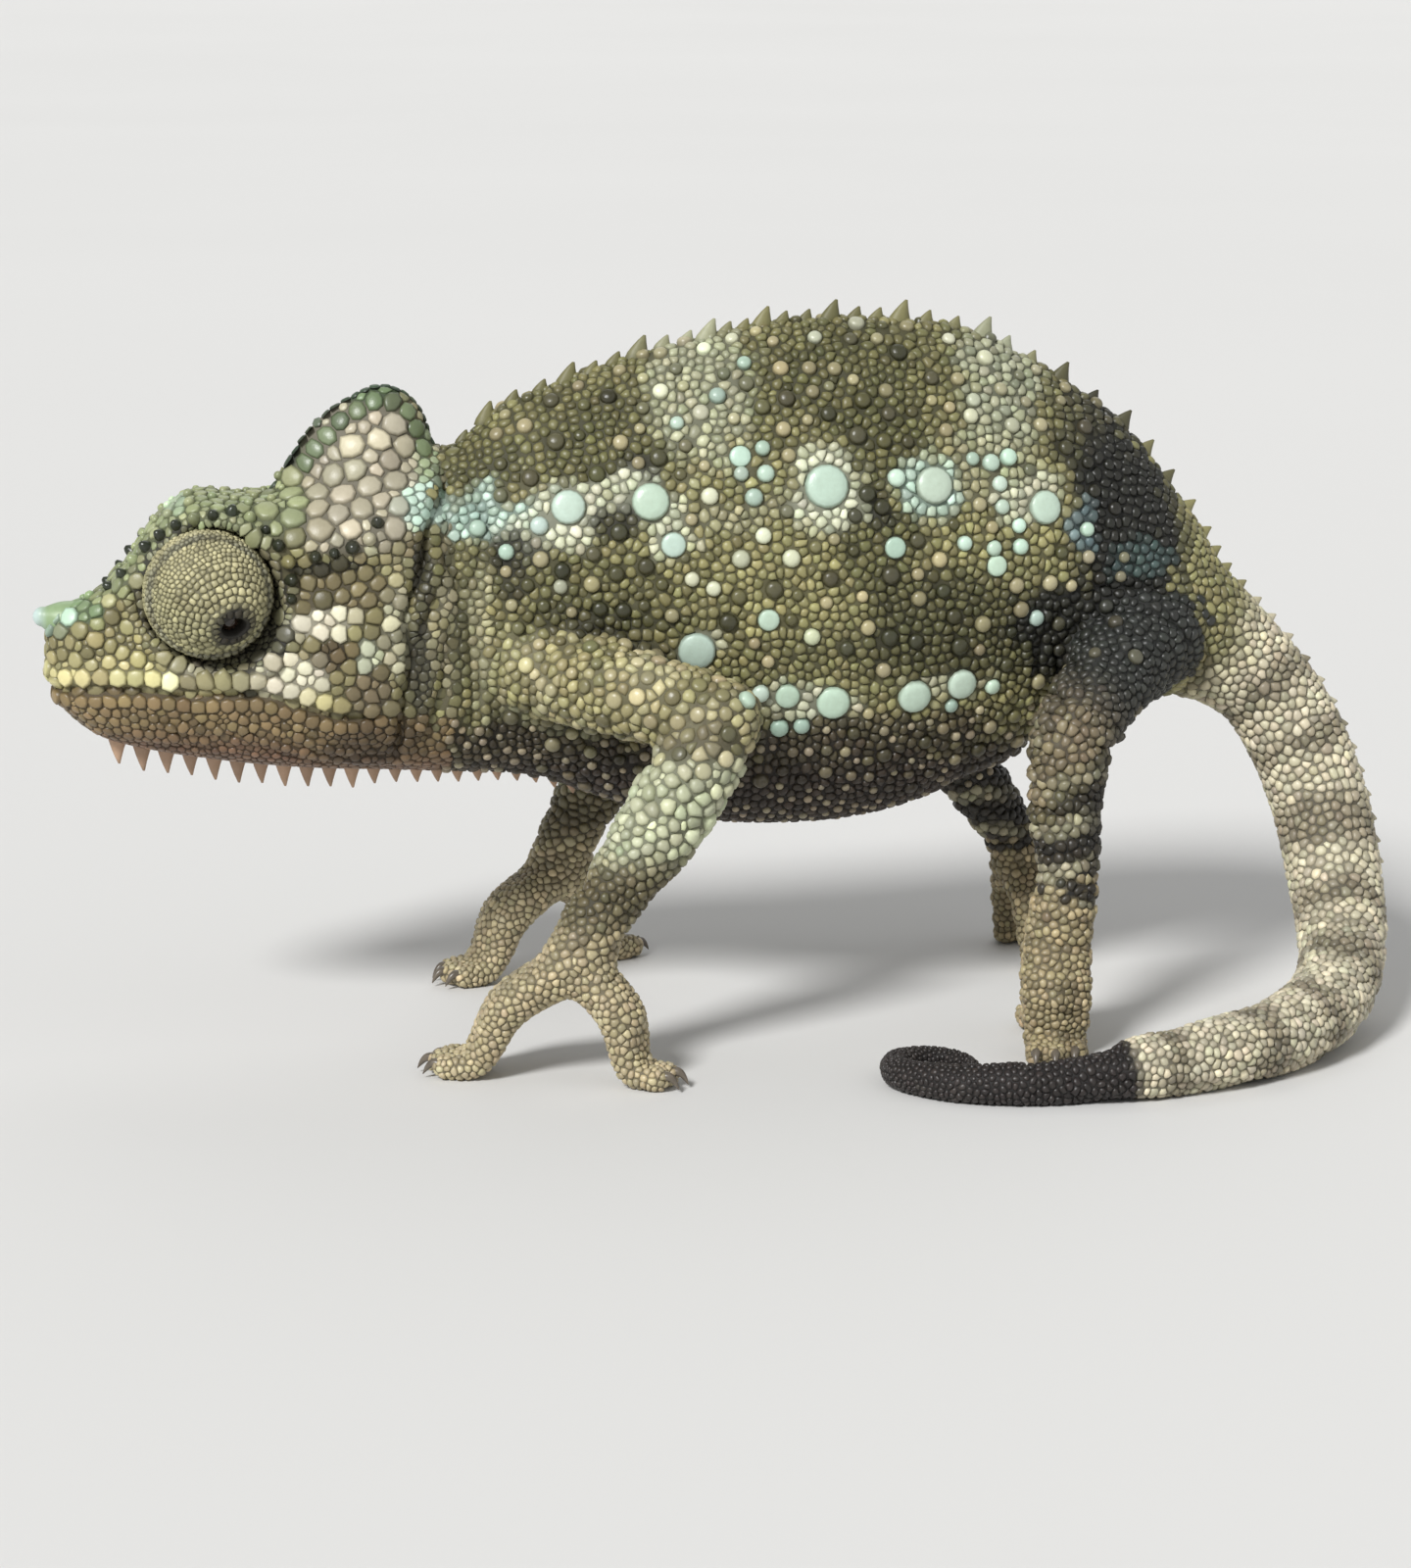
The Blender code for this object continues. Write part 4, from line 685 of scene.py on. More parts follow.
HEAD_PATCHES = {
    "casque plates": (-21.6, 36.0, 4.2, 5.0, PLATE_CREAM, 1.0),
    "plates down to the crest": (-22.8, 32.6, 3.6, 1.8, PLATE_CREAM, 0.85),
    "casque rim": (-21.8, 41.0, 4.6, 1.2, RIM_GREEN, 1.0),
    "casque front rim": (-26.4, 37.6, 1.1, 2.0, RIM_GREEN, 0.8),
    "dark casque front": (-26.2, 37.2, 0.8, 1.8, BLACKISH, 0.8),
    "casque back": (-17.6, 35.4, 0.8, 3.6, srgb(150, 168, 132), 0.8),
    "crest shade": (-23.8, 30.3, 3.4, 0.5, BLACKISH, 0.8),
    "temple": (-23.4, 28.7, 3.6, 1.5, TEMPLE_OLIVE, 1.0),
    "cheek upper cream": (-24.6, 27.0, 2.5, 0.95, CREAM, 0.95),
    "cheek olive": (-23.9, 25.0, 1.6, 1.0, srgb(96, 83, 58), 0.95),
    "cheek cream": (-26.5, 23.7, 2.5, 1.5, CREAM, 1.0),
    "jaw corner cream": (-21.8, 25.0, 0.8, 1.4, srgb(206, 212, 186), 0.85),
    # painted shadow below and behind the eye turret
    "painted shadow behind the eye": (-27.3, 26.0, 1.0, 1.1, BLACKISH, 0.9),
    "painted shadow below the eye": (-29.1, 25.0, 1.3, 0.6, BLACKISH, 0.75),
    "lip under the eye": (-32.4, 24.0, 2.2, 0.6, CREAM, 0.7),
    "dark lip mark": (-29.3, 23.4, 0.65, 0.9, BLACKISH, 0.75),
    "olive lip": (-32.7, 23.3, 0.8, 0.6, TEMPLE_OLIVE, 0.8),
    "olive lip front": (-38.0, 23.3, 1.1, 0.6, TEMPLE_OLIVE, 0.7),
    "jaw corner": (-21.6, 22.6, 1.6, 1.8, srgb(120, 108, 84), 0.8),
    "under the jaw corner": (-21.6, 19.2, 3.4, 1.7, RED_BROWN, 0.6),
    "pale neck edge": (-20.0, 26.4, 0.9, 3.2, srgb(206, 204, 176), 0.7),
    "mint behind the casque": (-17.9, 33.8, 1.9, 1.6, MINT, 0.95),
    "crown spot": (-33.3, 34.2, 1.0, 0.7, srgb(190, 212, 180), 0.8),
    # painted shadow of the deep fold behind the head
    "painted fold shadow behind the jaw": (-18.6, 24.0, 0.9, 3.6, BLACKISH, 0.75),
    "painted fold shadow behind the temple": (-18.4, 29.4, 0.8, 2.6, BLACKISH, 0.75),
    "horn": (-40.9, 27.0, 1.5, 0.9, HORN_GREEN, 1.0),
    "behind the horn": (-38.6, 27.6, 1.2, 0.8, srgb(136, 160, 118), 0.9),
}
print(len(FLANK_PATCHES), "patches on the flank,", len(HEAD_PATCHES), "on the head")

# %% Ways to lay colours
def blended(colours, mask, colour):
    """The colours, mixed towards one colour by the mask."""
    return colours + (np.asarray(colour) - colours) * np.clip(mask, 0, 1)[:, None]


def layered(colours, layers):
    """Lays one colour after another over the first, each where its mask says."""
    for mask, colour in layers:
        colours = blended(colours, mask, colour)
    return colours


def patched(colours, patches, x, z, edge, roughness=0.0, where=1.0):
    """Lays named patches over the colours. edge is where a patch starts to fade, and where it ends."""
    for cx, cz, rx, rz, colour, strength in patches.values():
        away = np.hypot((x - cx) / rx, (z - cz) / rz) + roughness
        colours = blended(colours, (1 - step(*edge, away)) * strength * where, colour)
    return colours


def nearest_tree(places):
    """A tree that finds the nearest of the places."""
    tree = kdtree.KDTree(len(places))
    for i, place in enumerate(places):
        tree.insert(place, i)
    tree.balance()
    return tree

# %% The colours of limbs
SPINE_TREE = nearest_tree(SPINE_LINE[:, :3])


def limb_gap(points, name):
    """How far each point lies outside one limb."""
    line = smooth(LIMBS[name], np.linspace(0, len(LIMBS[name]) - 1, 24))
    return np.min([np.linalg.norm(points - row[:3], axis=1) - row[3] for row in line], axis=0)


def limb_layers(points, part, wander, fine):
    """The colours of the limbs: pale arms with a mint band, near-black thighs over banded shins, and painted
    shade on the backs of the shins.
    """
    x, y, z = points.T
    fore, arm, thigh, shin, hind_foot = (
        np.char.find(part.astype(str), word) >= 0 for word in ("fore", "upper_arm", "thigh", "shin", "hind"))
    knee = bump(np.hypot(x - 21.0, z - 19.6), 2.3) + bump(np.hypot(x - 17.6, z - 16.4), 2.1)
    at_knee, below_knee = np.clip(knee * 1.2, 0, 1), 1 - np.clip(knee, 0, 1)
    rings = np.sin(z * 2.3 + 1.2 * wander[:, 1] + 0.8 * np.sin(x * 0.8))
    shin_middle = np.where(y < 0, 20.9, np.interp(z, (8.6, 16.2), (22.9, 17.6)))
    # The back of each shin, which takes painted shade below.
    behind = shin * step(-0.6, 1.2, x - shin_middle + 0.4 * wander[:, 0])
    mint_band = step(12.2, 14.2, z + 0.6 * wander[:, 0]) * (1 - step(18.2, 20.4, z))
    return (
        (arm, srgb(162, 155, 112)),
        (arm * step(0.0, 0.6, wander[:, 0]) * 0.6, srgb(202, 196, 158)),
        (fore, srgb(150, 142, 110)),
        (fore * mint_band, srgb(196, 200, 168)),
        (fore * bump(z - 11.2, 1.9) * 0.9, srgb(98, 90, 64)),
        (fore * step(10.0, 8.0, z) * 0.75, srgb(188, 174, 140)),
        (fore * step(0.25, 0.7, fine) * (z < 9.5) * 0.4, srgb(196, 188, 160)),
        (thigh, srgb(48, 50, 46)),
        ((thigh | shin) * at_knee, srgb(134, 121, 96)),
        (shin * (1 - at_knee), srgb(58, 52, 41)),
        (shin * step(0.0, 0.7, rings) * below_knee * 0.8, srgb(188, 182, 152)),
        (shin * step(0.5, 0.9, -rings) * below_knee * 0.85, srgb(44, 40, 32)),
        # the back of each shin darker: painted shade
        (behind * (1 - at_knee) * 0.75, srgb(38, 34, 28)),
        (hind_foot, srgb(170, 156, 121)),
        (hind_foot * step(0.1, 0.7, wander[:, 0]) * 0.5, srgb(122, 110, 84)),
    )

# %% The colour of any point
# Along the head's x, the z above which it is green
CROWN_EDGE = ((-40, -36, -34, -28, -24), (26.9, 29.0, 31.2, 32.0, 33.2))


def marked(points, part):
    """The animal's colour at each point, with some painted shade. part says which piece of the body each
    point belongs to.
    """
    x, y, z = points.T
    wander = np.column_stack([ripple(points, 2.1, 3.0), ripple(points, 2.3, 40.0)])
    fine = ripple(points, 0.9, 11.0)
    wander_x, wander_z = wander.T
    out = np.tile(OLIVE, (len(points), 1))
    out = blended(out, 0.5 + 0.7 * ripple(points, 3.2, 20.0), OLIVE * 0.66)
    trunk = np.isin(part, ("trunk", "neck", "tail"))
    out = patched(out, FLANK_PATCHES, x + 1.1 * wander_x, z + 1.1 * wander_z, (0.62, 1.15), 0.3 * fine, trunk)
    out = blended(out, trunk * step(17.8, 16.2, z) * (x < 26), BELLY_BROWN)

    place = FINE[[SPINE_TREE.find(p)[1] for p in points]]
    tail = np.where(part == "tail", step(8.3, 9.6, place + 0.3 * wander_x), 0)
    band = np.sin(place * 5.2 + 1.1 * wander_x + 0.6 * np.sin(place * 2.3))
    pale = layered(np.tile(srgb(206, 198, 172), (len(points), 1)), (
        (step(-0.1, 0.9, band) * 0.8, srgb(128, 119, 98)),
        (step(0.2, 0.6, fine) * 0.25, srgb(214, 214, 190)),
    ))
    dark = (part == "tail") * step(-0.12, 0.12, place - TAIL_DARKENS + 0.15 * wander_x)
    arm_gap = np.minimum(limb_gap(points, "left_upper_arm"), limb_gap(points, "right_upper_arm"))
    out = layered(out, (
        (tail, pale),
        (dark, srgb(44, 38, 36)),
        (dark * step(0.35, 0.8, ripple(points, 1.3, 60.0)) * 0.5, srgb(92, 84, 78)),
        # A dark band round the upper arm where it leaves the flank: painted shade.
        (trunk * step(1.3, 0.3, arm_gap) * step(-11.5, -9.0, x) * 0.8, srgb(50, 48, 34)),
        *limb_layers(points, part, wander, fine),
    ))

    crown = step(-0.8, 0.8, z - np.interp(x, *CROWN_EDGE))
    lip_z = np.interp(x, MOUTH[:, 0], MOUTH[:, 1])
    face = layered(np.tile(SNOUT_OLIVE, (len(points), 1)), (
        (step(0.5, 2.5, wander_x + (x + 22) / 3), srgb(158, 152, 124)),
        (crown * step(-23.5, -26.0, x), HEAD_GREEN),
        (bump(z - lip_z - 0.7, 0.85) * (z > lip_z) * (x < -24), LIP_CREAM),
        (step(0.1, -0.1, z - lip_z), JAW_OLIVE),
        (step(lip_z - 1.8, lip_z - 4.0, z), THROAT_ROSE * 0.85),
    ))
    face = patched(face, HEAD_PATCHES, x + 0.22 * wander_x, z + 0.22 * wander_z, (0.72, 1.08))
    return blended(out, np.isin(part, ("head", "casque")), face)


# %% [markdown]
# Every scale needs a place, a direction, a size and a colour. The largest round ones are set out by name.
# Then come plates on the head, rows of granules along the body, limbs and tail, and last a fill of small
# granules wherever a gap is left. A scale is planted only where it doesn't crowd one already there.

# %% The skin as something to plant on
skin_graph = bmesh.new()
skin_graph.from_mesh(skin.data)
bmesh.ops.triangulate(skin_graph, faces=skin_graph.faces)
triangles = np.array([[v.index for v in f.verts] for f in skin_graph.faces])
skin_graph.free()
skin_tree = BVHTree.FromPolygons(points.tolist(), triangles.tolist())
skin_points_tree = nearest_tree(points)
print(len(points), "points and", len(triangles), "triangles to plant on")

# %% The map for baking
# The map for baking: each loft is unrolled to a chart. The largest have corners of their own, and the charts
# of the limbs and toes fill rows beside them.
UV_PER_MM, CHART_GAP = 0.0058, 0.005
OWN_CORNERS = {"trunk": (0.01, 0.01), "tail": (0.36, 0.01), "neck": (0.90, 0.01), "head": (0.005, 0.58)}
ROW_HEIGHTS, ROW_START, ROW_END = (0.56, 0.70, 0.845, 0.915), 0.165, 0.98
CHARTS = {}  # name: (rings, how far along each ring is, how far round each point is, corner of its chart)
chart_row, corner_u = 0, ROW_START
for name, rings in SKIN_LOFTS.items():
    middles = rings.mean(axis=1, keepdims=True)
    along = lengths_along(middles[:, 0])
    reach = np.linalg.norm(rings - middles, axis=2).mean(axis=1).max()
    around = np.arange(rings.shape[1]) / rings.shape[1] * 2 * math.pi * reach
    corner = OWN_CORNERS.get(name)
    if corner is None:
        width = along[-1] * UV_PER_MM + 2 * CHART_GAP
        if corner_u + width > ROW_END:
            chart_row += 1
            corner_u = ROW_START
        corner = (corner_u + CHART_GAP, ROW_HEIGHTS[chart_row])
        corner_u += width
    CHARTS[name] = (rings, along, around, corner)

chart_uv = np.vstack([
    (np.stack(np.meshgrid(along, around, indexing="ij"), axis=-1) * UV_PER_MM + corner).reshape(-1, 2)
    for _, along, around, corner in CHARTS.values()])
chart_part = np.repeat(list(CHARTS), [len(along) * len(around) for _, along, around, _ in CHARTS.values()])
chart_tree = nearest_tree(np.vstack([rings.reshape(-1, 3) for rings, *_ in CHARTS.values()]))


def part_and_uv(places):
    """The loft that each place lies on, and its place in the map for baking."""
    found = [chart_tree.find(p)[1] for p in places]
    return chart_part[found], chart_uv[found]
print(len(CHARTS), "charts, at most", round(float(chart_uv.max()), 2), "across the map")

# %% The planted scales
def on_skin(places, farthest=1.2):
    """The nearest skin to each place, and its outward direction, where it is near enough."""
    hits, outs = [], []
    for place in places:
        hit, _, _, distance = skin_tree.find_nearest(place)
        if hit is not None and distance < farthest:
            hits.append(hit)
            outs.append(normals[skin_points_tree.find(hit)[1]])
    return np.array(hits).reshape(-1, 3), np.array(outs).reshape(-1, 3)


CELL = 1.0  # mm
WIDE, LARGE = 0.6, 0.8  # radii from which a scale looks, or is noted, beyond its own cell


class Planting:
    """Scales already planted, kept in a grid of cells so that crowding is quick to find."""

    def __init__(self):
        self.cells = {}
        self.rows = []

    def cells_round(self, place, reach):
        x, y, z = (int(math.floor(c / CELL)) for c in place)
        steps = range(-reach, reach + 1)
        return [(x + i, y + j, z + k) for i in steps for j in steps for k in steps]

    def file(self, place, radius):
        """Notes a scale in its own cell. A large one is noted in the cells beside it too."""
        for cell in self.cells_round(place, int(radius >= LARGE)):
            self.cells.setdefault(cell, []).append((place, radius))

    def crowded(self, p, radius, spacing):
        """Whether an earlier scale is too near. A small scale keeps clear of a large one's flat top."""
        for cell in self.cells_round(p, 2 if radius > WIDE else 1):
            for q, r in self.cells.get(cell, ()):
                room = max(spacing * (radius + r), max(radius, r) + 0.45 * min(radius, r))
                if (p[0] - q[0]) ** 2 + (p[1] - q[1]) ** 2 + (p[2] - q[2]) ** 2 < room * room:
                    return True
        return False

    def plant(self, places, outs, radii, kind, spacing=0.85, along=None, shape=(1.0, 1.0), height=0.42):
        """Plants a scale at each place that isn't crowded. shape and height are shares of its radius."""
        for i, (p, out, radius) in enumerate(zip(places.tolist(), outs, radii)):
            if not self.crowded(p, radius, spacing):
                self.file(p, radius)
                run = along[i] if along is not None else (1.0, 0.1, 0.2)
                self.rows.append((kind, p, out, run, radius, shape, height))

    def move(self, numbers, places, outs):
        """Puts planted scales in new places, and files every scale in its cell again."""
        for number, place, out in zip(numbers, places.tolist(), outs):
            kind, _, _, *rest = self.rows[number]
            self.rows[number] = (kind, place, out, *rest)
        self.cells = {}
        for _, place, _, _, radius, _, _ in self.rows:
            self.file(place, radius)


coat = Planting()


def moat_gap(places):
    """How far each place is outside the eye turrets' moats."""
    out = np.full(len(places), 99.0)
    for side in (-1, 1):
        centre, gaze = mirrored(side, EYE_CENTRE, SOCKET_AXIS)
        offset = places - centre
        depth = offset @ gaze
        away = np.linalg.norm(offset - depth[:, None] * gaze, axis=1)
        gap = np.where(depth > 0, away, np.linalg.norm(offset, axis=1)) - SOCKET_RADIUS
        out = np.where(places[:, 1] * side > 0, gap, out)
    return out


# %% [markdown]
# The largest round scales stand in a row along the flank and in a lower row behind the elbow, the same on
# both sides. Smaller ones lie between them at random, never close together. Each scale planted this way
# keeps the place, direction, size and kind that the Geometry Nodes tree below needs.

# %% Where the large round scales stand
# (x, z, radius) of each one in the rows, then (x, z) of the small ones by colour
FLANK_SCALES = (
    (-9.4, 33.7, 1.1), (-4.4, 34.0, 1.2), (6.4, 34.8, 1.4), (13.2, 34.7, 1.2), (20.5, 33.0, 1.1),
    (-1.7, 24.8, 1.2), (6.9, 21.3, 1.1), (4.0, 21.8, 0.8), (12.1, 21.5, 1.1), (15.2, 22.1, 1.0),
    (-3.1, 31.4, 0.8), (2.7, 26.7, 0.7), (1.2, 36.6, 0.7), (10.6, 31.0, 0.7), (17.2, 29.6, 0.7),
)
SMALL_MINT = (
    (-14.9, 32.4), (10.8, 35.2), (2.7, 35.6), (1.2, 35.6), (2.6, 37.1), (1.9, 34.2), (15.8, 36.2),
    (17.0, 35.9), (18.2, 36.2), (17.5, 34.6), (17.6, 33.2), (18.7, 32.0), (15.1, 31.1), (17.0, 30.7),
    (18.8, 30.7), (20.0, 26.1), (0.4, 22.7), (2.3, 22.0), (5.0, 19.8), (3.6, 19.7), (23.4, 31.5),
    (-0.3, 44.3), (2.0, 42.0), (0.1, 40.2), (-2.5, 38.6), (14.6, 20.7), (17.3, 21.8), (-13.2, 31.0),
    (-11.2, 32.6),
)
SMALL_PALE = (
    (-1.0, 39.2), (0.8, 39.9), (-3.3, 40.4), (-4.0, 43.6), (-0.3, 42.8), (-1.8, 44.2), (1.5, 43.4),
    (6.6, 43.4), (7.7, 44.8), (9.4, 44.2), (9.6, 45.4), (16.2, 39.6), (15.9, 38.7), (15.2, 43.2),
    (17.4, 42.0), (-2.0, 29.3), (-0.7, 28.7), (1.0, 30.5), (2.4, 31.9), (4.1, 30.5), (5.4, 25.6),
    (-0.8, 34.3), (-10.0, 28.9), (18.6, 38.0),
)
SMALL_DARK = (
    (6.5, 29.2), (10.3, 29.3), (12.0, 31.4), (8.9, 34.3), (8.1, 33.0), (9.8, 33.5), (5.4, 24.8),
    (7.6, 24.8), (10.3, 25.4), (12.0, 25.1), (-9.9, 37.5), (-9.9, 39.8), (-6.5, 40.1), (-11.6, 35.4),
    (-6.4, 32.2), (-8.0, 30.9), (-9.9, 29.9), (-7.6, 27.5), (-6.2, 27.4), (10.6, 39.0), (11.7, 42.5),
    (8.8, 43.3), (4.3, 40.0), (6.8, 39.1), (8.5, 37.8), (-3.8, 36.6), (13.7, 28.2), (3.0, 28.6),
    (14.9, 24.6), (0.2, 26.6), (-4.8, 30.1), (13.6, 41.0),
)

# %% Ways to choose places
def cast(start, direction):
    """Where a straight line first meets the skin, with the skin's outward direction there."""
    hit = skin_tree.ray_cast(Vector(start), Vector(direction))[0]
    if hit is None:
        return None, None
    return np.array(hit), normals[skin_points_tree.find(hit)[1]]


def from_side(marks, side):
    """The places on one flank that the marks (x, z, ...) fall on, with directions and the marks kept."""
    found = [(*cast((m[0], 30 * side, m[1]), (0, -side, 0)), m) for m in marks]
    hits, outs, marks = zip(*[row for row in found if row[0] is not None])
    return np.array(hits), np.array(outs), marks


def scattered(wanted, count, from_eye=0.12):
    """Random places on the skin where wanted is true of a triangle's middle, spread evenly by area."""
    a, b, c = (points[triangles[:, k]] for k in range(3))
    middle = (a + b + c) / 3
    area = np.linalg.norm(np.cross(b - a, c - a), axis=1) * wanted(middle)
    pick = RNG.choice(len(triangles), count, p=area / area.sum())
    u, v = RNG.random((2, count, 1))
    u, v = np.where(u + v > 1, 1 - u, u), np.where(u + v > 1, 1 - v, v)
    places = a[pick] + (b[pick] - a[pick]) * u + (c[pick] - a[pick]) * v
    outs = unit(normals[triangles[pick]].mean(axis=1))
    kept = moat_gap(places) > from_eye
    return places[kept], outs[kept]


def levelled(places, radii):
    """Places lifted clear of the skin's ripples, and the mean outward direction under each scale."""
    places, outs = places.copy(), np.empty_like(places)
    for i, radius in enumerate(radii):
        near = [found[1] for found in skin_points_tree.find_range(places[i], 1.1 * radius + 0.35)]
        outs[i] = unit(normals[near].mean(axis=0))
        places[i] += outs[i] * np.clip(np.percentile((points[near] - places[i]) @ outs[i], 75), 0, 0.3)
    return places, outs


def within(x, y, z):
    """A test for a place inside a box, with y the same on both sides."""
    return lambda middle: np.all([
        (low < value) & (value < high)
        for value, (low, high) in zip((middle[:, 0], np.abs(middle[:, 1]), middle[:, 2]), (x, y, z))], axis=0)

# %% Set out the large round scales
known = []  # the place and colour of each named scale
for side in (-1, 1):
    places, _, marks = from_side(FLANK_SCALES, side)
    radii = [m[2] for m in marks]
    places, outs = levelled(places, radii)
    coat.plant(places, outs, radii, "tubercle", height=0.31)
    known += [(tuple(place), MINT) for place in places]
    for named, colour in ((SMALL_MINT, MINT), (SMALL_PALE, CHALK), (SMALL_DARK, srgb(58, 58, 40))):
        places, _, marks = from_side(named, side)
        radii = RNG.uniform(0.46, 0.62, len(marks))
        places, outs = levelled(places, radii)
        coat.plant(places, outs, radii, "knob", 0.8, height=0.68)
        known += [(tuple(place), colour) for place in places]
# box: (how many are tried, least and most radius, spacing, height, whether they are set level)
KNOBS = {
    ((-13.5, 26), (-1, 9), (15, 99)): (2600, (0.36, 0.56), 1.5, 0.72, True),  # flank and back
    ((-12, 2.5), (7.6, 99), (18.5, 99)): (260, (0.42, 0.6), 1.2, 0.5, False),  # upper arms
    ((-17, 22), (-1, 8.5), (11, 20.5)): (1500, (0.22, 0.36), 1.35, 0.75, False),  # belly and chest
}
for box, (count, sizes, spacing, height, level) in KNOBS.items():
    places, outs = scattered(within(*box), count)
    radii = RNG.uniform(*sizes, len(places))
    if level:
        places, outs = levelled(places, radii)
    coat.plant(places, outs, radii, "knob", spacing, height=height)
print(len(coat.rows), "large round scales")

# %% [markdown]
# Real scales press against each other, so their outlines are polygons with thin cracks between. For each
# pair of neighbours, a straight border lies between them, nearer to the smaller one. Each scale's spokes
# are shortened so that none crosses a border.

# %% Borders between neighbouring scales
CRACK = 0.03
FREE_REACH = 1.9  # how far a scale spreads where it has no neighbour, as a share of its radius


def borders_between(places, outs, radii):
    """Pairs of neighbours, the direction from one to the other, and how far off their border is."""
    tree = nearest_tree(places)
    pairs = set()
    for i, place in enumerate(places):
        for _, j, _ in tree.find_range(place, 4.0 * radii[i]):
            if j != i and radii[j] <= radii[i]:
                pairs.add((i, j))
                pairs.add((j, i))
    pairs = np.array(sorted(pairs))
    across = places[pairs[:, 1]] - places[pairs[:, 0]]
    apart = np.linalg.norm(across, axis=1)
    own, other = radii[pairs[:, 0]], radii[pairs[:, 1]]
    facing = np.sum(outs[pairs[:, 0]] * outs[pairs[:, 1]], axis=1) > 0.2
    kept = facing & (apart < 2.0 * (own + other)) & (apart > 1e-6)
    border = (apart**2 + own**2 - other**2) / (2 * np.maximum(apart, 1e-6)) - CRACK / 2
    return pairs[kept], across[kept] / apart[kept][:, None], border[kept]


def reaches(borders, chosen, spokes, radii):
    """How far each chosen scale reaches along each of its spokes before it meets a border."""
    pairs, across, border = borders
    number = np.full(len(radii), -1)
    number[chosen] = np.arange(len(chosen))
    mine = number[pairs[:, 0]] >= 0
    owner = number[pairs[mine, 0]]
    reach = np.repeat(radii[chosen][:, None] * FREE_REACH, spokes.shape[1], axis=1)
    towards = np.einsum("pk,psk->ps", across[mine], spokes[owner])
    limit = np.where(towards > 0.12, np.maximum(border[mine], 0.04)[:, None] / np.maximum(towards, 0.12), 9.0)
    np.minimum.at(reach, owner, limit)
    return reach


def settled(places, outs, radii, free, rounds=6):
    """Moves each free scale to the middle of its own polygon, a few times, to spread them evenly."""
    turn = np.linspace(0, 2 * math.pi, 12, endpoint=False)
    for _ in range(rounds):
        ahead = unit(np.cross(outs, (0.1, 1.0, 0.2)))
        aside = np.cross(outs, ahead)
        spokes = np.cos(turn)[None, :, None] * ahead[:, None] + np.sin(turn)[None, :, None] * aside[:, None]
        reach = reaches(borders_between(places, outs, radii), np.arange(len(places)), spokes, radii)
        middle = (spokes * reach[..., None] ** 2).sum(axis=1) / reach.sum(axis=1, keepdims=True)
        moved, turned = on_skin(places + 0.9 * middle * free[:, None], 9.0)
        places, outs = np.where(free[:, None] > 0, moved, places), np.where(free[:, None] > 0, turned, outs)
    return places, outs


# %% [markdown]
# The head is armoured with plates that fit together like paving. Rows come first: square plates along both
# lips, beads round the eye and up the brow, and green plates that cap the casque's rim. The rest are thrown
# on from large to small, so that each gap takes the largest plate that it has room for.

# %% Where the rows run
BROW = ((-37.2, 28.9), (-35.8, 30.5), (-34.6, 31.9), (-33.2, 32.9), (-31.6, 33.5), (-29.9, 33.7),
        (-28.4, 33.2), (-27.3, 32.1), (-26.5, 30.7), (-26.3, 29.2), (-26.5, 27.8))
CREST = ((-27.2, 30.9), (-26.0, 31.0), (-24.6, 31.1), (-22.9, 31.5), (-21.4, 32.2), (-20.9, 33.6))
LIP_STARTS, LIP_ENDS = -40.6, -23.0
# Each row of lip plates: (how far above the mouth, distance apart, radius, length and width as shares of it)
LIP_ROWS = ((0.82, 1.05, 0.58, (1.08, 0.92)), (-0.72, 0.88, 0.47, (1.06, 0.9)))
BEAD_PITCH, BEAD_RADII = 1.15, (0.34, 0.52)
MOAT_RINGS = ((0.35, 0.21), (0.72, 0.23))  # (how far outside the moat, radius)
CROWN_TOP = ((-38.6, -36.5, -34.5, -31.0, -26.5), (27.9, 29.2, 32.6, 33.7, 33.8))  # x, and the z above it
CASQUE_HUB = np.array([-22.0, 0, 35.0])  # rays from outside towards here meet the casque's rim

# %% Places along the head's rows
def along_row(line, marks):
    """The places at these distances along a line of places."""
    length = lengths_along(line)
    return np.column_stack([np.interp(marks, length, line[:, k]) for k in range(line.shape[1])])


def spaced(line, apart):
    """Places a set distance apart along a line of (x, z)."""
    line = np.asarray(line, float)
    return along_row(line, np.arange(0, lengths_along(line)[-1], apart))


def on_crown(middle):
    """Whether each place is on top of the head, in front of the casque."""
    return (np.abs(middle[:, 1]) < 2.9) & (middle[:, 0] < -26.5) & (
        middle[:, 2] > np.interp(middle[:, 0], *CROWN_TOP))

# %% Plant the lips, brow and casque's rim
planted_before = len(coat.rows)
mouth = MOUTH[(MOUTH[:, 0] > LIP_STARTS) & (MOUTH[:, 0] < LIP_ENDS), :2]
for side in (-1, 1):
    for above, apart, radius, aspect in LIP_ROWS:
        places, outs, marks = from_side(spaced(mouth + (0, above), apart), side)
        ahead = np.tile((1.0, 0.0, 0.0), (len(marks), 1))
        coat.plant(places, outs, [radius] * len(marks), "plate", 0.8, ahead, aspect, 0.30)
    for line in (BROW, CREST):
        places, outs, marks = from_side(spaced(line, BEAD_PITCH), side)
        coat.plant(places, outs, RNG.uniform(*BEAD_RADII, len(marks)), "bead", 0.8, height=1.25)
    centre, gaze = mirrored(side, EYE_CENTRE, SOCKET_AXIS)
    across = unit(np.cross(gaze, (0, 0, 1.0)))
    for beyond, radius in MOAT_RINGS:
        turn = np.linspace(0, 2 * math.pi, int(2 * math.pi * (EYE_RADIUS + beyond) / (radius * 1.75)))
        ring = np.cos(turn)[:, None] * across + np.sin(turn)[:, None] * np.cross(across, gaze)
        places, outs = on_skin(centre + ring * (SOCKET_RADIUS + beyond), 1.6)
        coat.plant(places, outs, [radius] * len(places), "granule", 0.75)

